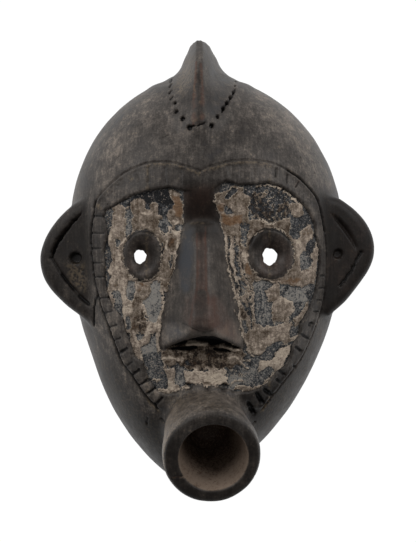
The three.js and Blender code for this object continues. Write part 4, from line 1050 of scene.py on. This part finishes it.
streaks = [
    (warmth, "196.5,234 197.2,262 196.8,290", 0.5, 0.9), (warmth, "205.4,228 206,262 206.4,290", 0.5, 0.9),
    (warmth, "196.8,290 193.4,306 190,325", 0.5, 0.5), (warmth, "206.4,290 211,306 216,325", 0.5, 0.5),
    # the dust streak here paints a highlight along the small step at the nose root
    (shade, "201,234 201.4,262 201.6,290", 0.7, 0.35), (dust, "186,223.4 204,224", 0.6, 0.2),
    (warmth, "193.2,124 193.8,98 196.4,62", 0.4, 2.2), (warmth, "203.2,119 202.6,94 201.4,64", 0.4, 2),
    (dust, "193.4,122 194,98 195.6,70", 0.25, 0.5), (dust, "203.4,116 202.8,94 201.6,72", 0.22, 0.4),
    (warmth, "212,300 214,322", 2.0, 0.5), (warmth, "160,262 161,272", 0.8, 0.7),
    (warmth, "295,186 298,182", 0.6, 0.9), (dust, "131.6,177.4 133,178.4", 0.7, 0.9),
    (dust, "99,206 101,209", 1.0, 0.5), (dust, "162,217 166,221", 0.6, 0.4),
]
for plan, line, halfWidth, amount in streaks:
    streak(plan, line, halfWidth, amount)
for line in borderLines.values():  # dust and a painted highlight on the lit lip under the top of the border
    where, off = aroundStroke(dust, line[np.abs(line[:, 0]) < 20] - (0, 0.9), 0.6)
    dust.data[where] += 0.4 * (1 - smoothStep(0.2, 1, off))


# the mesh: the net split finer where there is more to see, then drawn on to the surface

def netOf(field, corner, step):
    shape = np.array(field.shape)
    total, count, quads = np.zeros((field.size, 3)), np.zeros(field.size), []
    for axis in range(3):
        near = field[tuple(slice(0, -1) if k == axis else slice(None) for k in range(3))]
        far = field[tuple(slice(1, None) if k == axis else slice(None) for k in range(3))]
        at = np.argwhere((near < 0) != (far < 0))
        a, b = near[tuple(at.T)], far[tuple(at.T)]
        spot = at.astype(float)
        spot[:, axis] += a / (a - b)
        u, v = (axis + 1) % 3, (axis + 2) % 3
        around = []
        for back in ((0, 0), (1, 0), (1, 1), (0, 1)):
            cell = at.copy()
            cell[:, u] -= back[0]
            cell[:, v] -= back[1]
            index = np.ravel_multi_index(cell.T, shape)
            around.append(index)
            count += np.bincount(index, minlength=field.size)
            for k in range(3):
                total[:, k] += np.bincount(index, weights=spot[:, k], minlength=field.size)
        quad = np.stack(around, axis=1)
        quads.append(np.where((a < 0)[:, None], quad, quad[:, ::-1]))
    used = count > 0
    number = np.cumsum(used) - 1
    return corner + step * total[used] / count[used][:, None], number[np.concatenate(quads)]


def edgesOf(faces, count):
    pairs = np.sort(np.concatenate([faces[:, [0, 1]], faces[:, [1, 2]], faces[:, [2, 0]]]), axis=1)
    keys, which = np.unique(pairs[:, 0] * count + pairs[:, 1], return_inverse=True)
    return np.stack([keys // count, keys % count], axis=1), which.reshape(3, -1).T


def splitLong(points, faces, longest):
    edges, which = edgesOf(faces, len(points))
    a, b = points[edges[:, 0]], points[edges[:, 1]]
    middle = (a + b) / 2
    split = np.linalg.norm(a - b, axis=1) > longest(middle)
    number = np.where(split, len(points) + np.cumsum(split) - 1, -1)
    mids = number[which]
    cuts = (mids >= 0).sum(axis=1)
    made = [faces[cuts == 0]]
    for turn in range(3):
        f, m = np.roll(faces, -turn, axis=1), np.roll(mids, -turn, axis=1)
        one = (cuts == 1) & (m[:, 0] >= 0)
        made += [np.stack([f[one, 0], m[one, 0], f[one, 2]], axis=1),
                 np.stack([m[one, 0], f[one, 1], f[one, 2]], axis=1)]
        two = (cuts == 2) & (m[:, 2] < 0)
        f2, m2 = f[two], m[two]
        made += [np.stack([f2[:, 0], m2[:, 0], m2[:, 1]], axis=1),
                 np.stack([f2[:, 0], m2[:, 1], f2[:, 2]], axis=1),
                 np.stack([m2[:, 0], f2[:, 1], m2[:, 1]], axis=1)]
    f, m = faces[cuts == 3], mids[cuts == 3]
    made += [np.stack([f[:, k], m[:, k], m[:, k - 1]], axis=1) for k in range(3)] + [m]
    return np.concatenate([points, middle[split]]), np.concatenate(made)


def slopeOf(points, reach=0.15):
    here = form(points)
    steps = np.eye(3) * reach
    slope = np.stack([form(points + s) - here for s in steps], axis=1) / reach
    return here, slope


def drawnOn(points, rounds=1):
    for _ in range(rounds):
        here, slope = slopeOf(points)
        points = points - slope * (here / np.maximum((slope ** 2).sum(axis=1), 0.2))[:, None]
    return points


def relaxed(points, faces, share=0.5):
    edges, _ = edgesOf(faces, len(points))
    total, count = np.zeros_like(points), np.bincount(edges.ravel(), minlength=len(points))
    for a, b in ((0, 1), (1, 0)):
        for k in range(3):
            total[:, k] += np.bincount(edges[:, a], weights=points[edges[:, b], k], minlength=len(points))
    return points + share * (total / count[:, None] - points)


def hollowDistance(p):
    return asDistance(lambda *at: domeLevel(*at, hollow), *p.T)


def longestEdge(p):
    x, y, z = p.T
    behind = (hollowDistance(p) < 1) | (z < 1)
    onFace = z > frontHeight.read(x, y) - 4
    ax, ay, az = alongMouth(x, y, z)
    onMouth = (np.hypot(ax, ay) < 18) & (az > 0)
    aside = np.where(onMouth | (earOutside.read(x, y) < 2), net["lugs"], net["outside"])
    aside = np.where(onMouth & (az > 24), net["face"], aside)
    return np.where(behind, net["hollow"], np.where(onFace, np.minimum(fineness.read(x, y), aside), aside))


points, quads = netOf(field, low, net["step"])
faces = np.concatenate([quads[:, [0, 1, 2]], quads[:, [0, 2, 3]]])
print("first net:", len(points), "points")
for _ in range(2):
    points = drawnOn(relaxed(points, faces))
for _ in range(net["rounds"]):
    points, faces = splitLong(points, faces, longestEdge)
    points = drawnOn(relaxed(points, faces, 0.3))
points = drawnOn(points)
print("split net:", len(points), "points", len(faces), "faces")


# how the surface lies, for carving and for paint

def facets(x, y, size, seed):  # squared distance to the nearest of many scattered tool strokes
    jitter = np.random.default_rng(seed).uniform(0.1, 0.9, (32, 32, 2))
    u, v = x / size[0] + 100, y / size[1] + 100
    i, j = np.floor(u).astype(int), np.floor(v).astype(int)
    nearest = np.full(x.shape, 9.0)
    for a in (-1, 0, 1):
        for b in (-1, 0, 1):
            spot = jitter[(i + a) % 32, (j + b) % 32]
            nearest = np.minimum(nearest, (u - i - a - spot[:, 0]) ** 2 + (v - j - b - spot[:, 1]) ** 2)
    return nearest


_, normals = slopeOf(points)
normals /= np.linalg.norm(normals, axis=1)[:, None]
x, y, z = points.T
below = z - frontHeight.read(x, y)  # 0 on the front, less than 0 down the sides
front = smoothStep(0.02, 0.25, normals[:, 2]) * (below > -5)
inHollow = smoothStep(1.2, 0.4, hollowDistance(points))
ax, ay, az = alongMouth(x, y, z)
reach = np.hypot(ax, ay)
boreDistance = outlineDistance(np.hypot(ax - mouth["boreAside"], ay), az, np.array(mouth["bore"]))
inBore = smoothStep(14.2, 13.6, reach) * smoothStep(26.9, 26.2, az) * (az > 0) * (boreDistance < 1)
atRim = smoothStep(25.4, 26.3, az) * (1 - inBore)
bare = 1 - smoothStep(1.5, 0, faceOutside.read(x, y)) * front
onTube = smoothStep(2, 5, az) * smoothStep(18, 17, reach)
flank = onTube * smoothStep(0.5, 0.95, -ax / np.maximum(reach, 1)) * (1 - inBore) * (1 - atRim)  # left side of the tube, which gets a painted highlight
knife = {"size": (7, 9), "depth": 0.1, "gougeSize": (6, 10), "gougeDepth": 0.55, "uneven": 0.1,
         "unevenOver": 5}
lift = relief.read(x, y) * front * (1 - onTube)
lift += knife["depth"] * facets(x, y, knife["size"], 3) * bare * (1 - inHollow) * (1 - onTube)
lift += knife["gougeDepth"] * facets(x, y, knife["gougeSize"], 4) * inHollow * smoothStep(0.5, 4, z)
lift += knife["uneven"] * unevenness(points, knife["unevenOver"], 6) * (z > 0.5)
points = points + normals * (lift * smoothStep(0, 0.8, z))[:, None]

mesh = bpy.data.meshes.new("mask_carving")
mesh.vertices.add(len(points))
mesh.vertices.foreach_set("co", ((points + (*shift, 0)) / 1000).astype(np.float32).ravel())
mesh.loops.add(faces.size)
mesh.loops.foreach_set("vertex_index", faces.astype(np.int32).ravel())
mesh.polygons.add(len(faces))
mesh.polygons.foreach_set("loop_start", np.arange(0, faces.size, 3, dtype=np.int32))
mesh.update(calc_edges=True)
mesh.validate()
mesh.shade_smooth()
carving = bpy.data.objects.new("mask_carving", mesh)
bpy.context.scene.collection.objects.link(carving)
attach(carving, "root")
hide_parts("mask")

besideNose = smoothStep(0.3, 1.1, np.abs(x - nose["centreX"]) - readCurve(nose["half"], y) * (y > -26.5))
inFace = smoothStep(0.25, -0.15, faceOutside.read(x, y)) * front * (nearBridge(x, y) < 0.4) * besideNose
offRings = 1 - smoothStep(1.12, 1.0, np.minimum(*[eyeReach(x, y, eye) for eye in eyes]))
mouthShade = {"tube": -0.2, "flank": -0.6, "rim": 0.7, "rimTop": -0.3}  # added to the painted shade of the wood: the tube and its left flank painted lighter, the rim's face darker, the top of the rim painted lighter
rimShade = mouthShade["rim"] + mouthShade["rimTop"] * smoothStep(0.2, 0.9, ay / np.maximum(reach, 1))
tubeShade = mouthShade["tube"] * onTube + mouthShade["flank"] * flank
surface = {
    "clay": np.where(front > 0, clay.read(x, y), -2),
    "tone": tone.read(x, y),
    "slate": slate.read(x, y),
    "faceGround": inFace * offRings,
    # painted shadow in the cuts
    "cavity": cavity.read(x, y) * (below > -5) * (1 - onTube),
    # painted shade and light with patina; the tube and its left flank painted lighter, the rim's face darker,
    # the top of the rim painted lighter
    "shade": shade.read(x, y) * (1 - onTube) * smoothStep(-22, -10, below)
             + tubeShade * (1 - atRim) + rimShade * atRim,
    "warmth": warmth.read(x, y) * front * (1 - onTube),
    # dust, with a painted highlight down the tube's left flank
    "dust": dust.read(x, y) * front + 0.35 * flank,
    "calm": calm.read(x, y) * front,
    "crumbs": crumbs.read(x, y),
    "ochre": ochre.read(x, y),
    "inHollow": inHollow,
    "inBore": inBore,
    # depth in the bore, for the painted shade that darkens it
    "boreDepth": smoothStep(-3, 22, az),
}
for name, values in surface.items():
    layer = mesh.attributes.new(name, "FLOAT", "POINT")
    layer.data.foreach_set("value", np.asarray(values, np.float32))
print("mask carved:", len(mesh.polygons), "faces")


# shader maths

class Socket:
    def __init__(self, tree, socket=None):
        self.tree, self.socket = tree, socket

    def add(self, kind, settings=None, sockets=None, output=0):
        node = self.tree.nodes.new("ShaderNode" + kind)
        for name, value in (settings or {}).items():
            if name == "stops":
                while len(node.color_ramp.elements) < len(value):
                    node.color_ramp.elements.new(1)
                for element, (place, colour) in zip(node.color_ramp.elements, value):
                    element.position, element.color = place, colour
            else:
                setattr(node, name, value)
        for name, value in (sockets or {}).items():
            if isinstance(value, Socket):
                self.tree.links.new(value.socket, node.inputs[name])
            else:
                node.inputs[name].default_value = value
        return Socket(self.tree, node.outputs[output])

    def maths(self, operation, *values):
        return self.add("Math", {"operation": operation}, dict(enumerate(values)))

    def __add__(self, other):
        return self.maths("ADD", self, other)

    __radd__ = __add__

    def __sub__(self, other):
        return self.maths("SUBTRACT", self, other)

    def __rsub__(self, other):
        return self.maths("SUBTRACT", other, self)

    def __mul__(self, other):
        return self.maths("MULTIPLY", self, other)

    __rmul__ = __mul__

    def step(self, low, high):
        return self.add("MapRange", {"interpolation_type": "SMOOTHSTEP"},
                        {"Value": self, "From Min": low, "From Max": high})

    def over(self, under, colour):  # this mask lays a colour over another
        return self.add("Mix", {"data_type": "RGBA"}, {0: self, 6: under, 7: colour}, 2)

    def tinting(self, colour, by):
        settings = {"data_type": "RGBA", "blend_type": "MULTIPLY"}
        return self.add("Mix", settings, {0: self, 6: colour, 7: by}, 2)

    def ramp(self, *stops):
        return self.add("ValToRGB", {"stops": stops}, {0: self})


def colour(text):  # a colour as seen on a screen, for the shader
    levels = [int(text[k:k + 2], 16) / 255 for k in (0, 2, 4)]
    return (*[c / 12.92 if c < 0.04045 else ((c + 0.055) / 1.055) ** 2.4 for c in levels], 1)


finish = {
    # wood
    "woodDark": "282320", "wood": "3f3a36", "woodLight": "5c554f", "woodPale": "7b7167", "red": "4b3026",
    # cut is the painted shadow in the cuts, shadeTint tints the painted shade, blue also paints a sheen on
    # the nose, the dust colour also paints highlights, and boreDeep and boreMouth paint the bore darker with
    # depth
    "blue": "3f4247", "cut": "070505", "dust": "75654f", "shadeTint": "8f857b", "hollowWood": "4a382b",
    "hollowDark": "2b2019", "boreMouth": "74665a", "boreDeep": "4a3a2f",
    # ground and clay of the face
    "groundBlack": "111113", "ground": "454648", "groundPale": "88847e", "edge": "c6b7a5", "pale": "bfb09e",
    "cream": "b2a393", "beige": "95877a", "tan": "7f7266", "olive": "675c50", "brown": "594b3f",
    "rough": "3a312a", "soot": "1f1915", "ochre": "745840",
    "clayTones": {"pale": -0.3, "cream": 0, "beige": 0.3, "tan": 0.5, "olive": 0.85, "brown": 1.0,
                  "rough": 1.3, "soot": 1.6},
    # how it takes the light
    "woodRoughness": 0.52, "clayRoughness": 0.92, "slateRoughness": 0.68, "specular": 0.22,
    "bump": 0.85, "bumpHeight": 0.00022,
}
noises = {  # cell in millimetres, detail, roughness, and how often it repeats along X, Y and Z
    "speckle": (0.9, 4, 0.55), "grit": (0.45, 2, 0.7), "mottle": (3.2, 4, 0.55), "broad": (14, 3, 0.55),
    "blotch": (1.7, 2, 0.55), "grain": (1.1, 4, 0.6, 1, 0.09, 0.6), "fibre": (0.5, 2, 0.55, 1, 0.05, 0.7),
}


def paintMask():
    material = bpy.data.materials.new("carved wood with clay")
    material.use_nodes = True
    tree = material.node_tree
    shader = tree.nodes["Principled BSDF"]
    shader.inputs["Specular IOR Level"].default_value = finish["specular"]
    kit = Socket(tree)

    def value(name):
        return kit.add("Attribute", {"attribute_name": name}, output=2)

    def noise(name):  # from about -0.5 to 0.5
        cell, detail, roughness, *often = noises[name]
        scale = [1000 * s / cell for s in often or (1, 1, 1)]
        at = kit.add("Mapping", sockets={"Vector": place, "Scale": scale})
        sockets = {"Vector": at, "Scale": 1.0, "Detail": detail, "Roughness": roughness}
        return kit.add("TexNoise", sockets=sockets) - 0.5

    place = kit.add("TexCoord", output=3)
    speckle, grit, mottle, broad, blotch, grain, fibre = [noise(name) for name in noises]

    # handled wood, with painted light and shade over its tone
    shade = value("shade")
    lively = 1 - 0.55 * value("calm")
    woodToneAndShade = (1.0 * mottle + 0.8 * grain + 0.6 * speckle + 0.4 * grit + 0.35 * fibre) * lively
    woodToneAndShade = woodToneAndShade + 0.8 * broad - 0.35 * shade + 0.6 - 0.12 * lively
    wood = woodToneAndShade.ramp((0.15, colour(finish["woodDark"])), (0.5, colour(finish["wood"])),
                     (0.78, colour(finish["woodLight"])), (1.0, colour(finish["woodPale"])))
    tinge = value("warmth") + 1.2 * broad + 0.8 * mottle
    wood = (tinge.step(0.1, 1.3) * (0.65 + 1.2 * grain)).over(wood, colour(finish["red"]))
    # bluish tint: a blue-grey patina, and a painted sheen on the nose's left facets and under the nose
    wood = ((0 - tinge).step(0.1, 0.9) * 0.8).over(wood, colour(finish["blue"]))
    flecks = speckle.step(0.08, 0.2) * mottle.step(0, 0.12) * lively
    wood = (flecks * 0.3).over(wood, colour(finish["dust"]))
    # painted shade and light, with the darker patina, tint the wood here
    wood = shade.step(0, 1.1).tinting(wood, colour(finish["shadeTint"]))
    # dust, and painted highlights on the border's lit lip, the nose root and the tube's left flank
    wood = (value("dust") * speckle.step(-0.12, 0.1)).over(wood, colour(finish["dust"]))

    # raw wood behind, and the bore painted darker towards its depth (painted shade)
    raw = 0.5 + 0.6 * mottle + 0.6 * grain
    raw = raw.ramp((0.2, colour(finish["hollowDark"])), (0.8, colour(finish["hollowWood"])))
    wood = value("inHollow").over(wood, raw)
    boreToneAndShade = value("boreDepth") + 1.4 * mottle + 2.4 * speckle + 1.8 * grit
    boreToneAndShade = boreToneAndShade.ramp((0.1, colour(finish["boreDeep"])), (0.95, colour(finish["boreMouth"])))
    wood = value("inBore").over(wood, boreToneAndShade)

    # bare ground of the face
    pale = 0.88 * value("slate") + 1.6 * speckle + 1.6 * grit + 1.2 * mottle + 0.5 * fibre + 0.13
    ground = pale.ramp((0.0, colour(finish["groundBlack"])), (0.5, colour(finish["ground"])),
                       (1.0, colour(finish["groundPale"])))
    base = value("faceGround").over(wood, ground)

    # clay with a paler broken edge and brown stains
    edge = value("clay") + 1.3 * speckle + 0.5 * grit
    clayMask = edge.step(-0.03, 0.06)
    crude = value("tone").step(0.85, 1.05)
    stain = value("tone") + 1.3 * mottle + 1.6 * blotch + 1.0 * speckle + 0.8 * grit
    stain = stain + 1.1 * grain + 0.5 * fibre + crude * (1.3 * blotch + 0.9 * speckle + 0.6 * grit)
    tones = [((at + 0.3) / 2, colour(finish[name])) for name, at in finish["clayTones"].items()]
    clayColour = ((stain + 0.3) * (1 / 2)).ramp(*tones)  # brought from -0.3 to 1.7 down to 0 to 1
    rusty = (value("ochre") + 1.5 * blotch + 1.2 * mottle).step(0.2, 0.9)
    clayColour = (rusty * 0.75).over(clayColour, colour(finish["ochre"]))
    rim = edge.step(0.34, 0.1) * (mottle + 0.5 * blotch).step(-0.05, 0.07) * (1 - crude)
    clayColour = (rim * 0.75).over(clayColour, colour(finish["edge"]))
    base = clayMask.over(base, clayColour)
    specks = (grit + 0.7 * speckle + 0.07 * value("crumbs")).step(0.16, 0.26)
    specks = specks * value("faceGround") * (1 - clayMask)
    base = (0.8 * specks).over(base, colour(finish["beige"]))
    # painted shadow in the cuts, pits and hollows
    cuts = (value("cavity") * (0.95 + 0.4 * speckle)).step(0.25, 0.95)
    base = cuts.over(base, colour(finish["cut"]))

    rough = finish["woodRoughness"] + 0.25 * mottle + 0.15 * grain
    rough = rough + value("faceGround") * (finish["slateRoughness"] - finish["woodRoughness"])
    rough = rough + clayMask * (finish["clayRoughness"] - rough)
    height = 0.35 * grain + 0.3 * fibre + 0.25 * speckle
    height = height + clayMask * (1.2 * grit + 2 * speckle + 1.2 * blotch + 0.8 * fibre)
    height = height + value("faceGround") * (1 - clayMask) * grit + 1.2 * edge.step(-0.08, 0.12)
    sockets = {"Strength": finish["bump"], "Distance": finish["bumpHeight"], "Height": height}
    bump = kit.add("Bump", sockets=sockets)
    for name, socket in (("Base Color", base), ("Roughness", rough), ("Normal", bump)):
        tree.links.new(socket.socket, shader.inputs[name])
    return material


mesh.materials.append(paintMask())
print("mask painted")


# floor, lights and camera

studio = {
    "floorHalf": 2, "floorZ": -0.0005, "floorGlow": 1.02, "room": 0.2, "lampSize": 0.7,
    "key": ((-0.85, 0.75, 0.8), 10.5), "fill": ((0.87, 0.72, 0.83), 9.6),
}
half, z = studio["floorHalf"], studio["floorZ"]
corners = [(-half, -half, z), (half, -half, z), (half, half, z), (-half, half, z)]
floorMesh = bpy.data.meshes.new("floor")
floorMesh.from_pydata(corners, [], [(0, 1, 2, 3)])
floor = bpy.data.objects.new("floor", floorMesh)
bpy.context.scene.collection.objects.link(floor)
white = bpy.data.materials.new("white")
white.use_nodes = True
shader = white.node_tree.nodes["Principled BSDF"]
shader.inputs["Base Color"].default_value = (0, 0, 0, 1)
shader.inputs["Emission Color"].default_value = (1, 1, 1, 1)
shader.inputs["Emission Strength"].default_value = studio["floorGlow"]
floorMesh.materials.append(white)


def softLight(name, place, power):
    light = bpy.data.lights.new(name, "AREA")
    light.size, light.energy = studio["lampSize"], power
    lamp = bpy.data.objects.new(name, light)
    lamp.location = place
    lamp.rotation_mode = "QUATERNION"
    lamp.rotation_quaternion = (-Vector(place)).to_track_quat("-Z", "Y")
    bpy.context.scene.collection.objects.link(lamp)


softLight("key", *studio["key"])
softLight("fill", *studio["fill"])

world = bpy.data.worlds.new("room")
bpy.context.scene.world = world
world.use_nodes = True
world.node_tree.nodes["Background"].inputs["Color"].default_value = (1, 1, 1, 1)
world.node_tree.nodes["Background"].inputs["Strength"].default_value = studio["room"]

camera = bpy.data.cameras.new("camera")
camera.sensor_width = 36
camera.lens = 36 * (view["height"] - view["sharpAt"]) / (view["size"][1] * view["pixel"])
eyePoint = bpy.data.objects.new("camera", camera)
eyePoint.location = (shift[0] / 1000, shift[1] / 1000, view["height"] / 1000)
bpy.context.scene.collection.objects.link(eyePoint)
bpy.context.scene.camera = eyePoint
bpy.context.scene.view_settings.view_transform = "Standard"
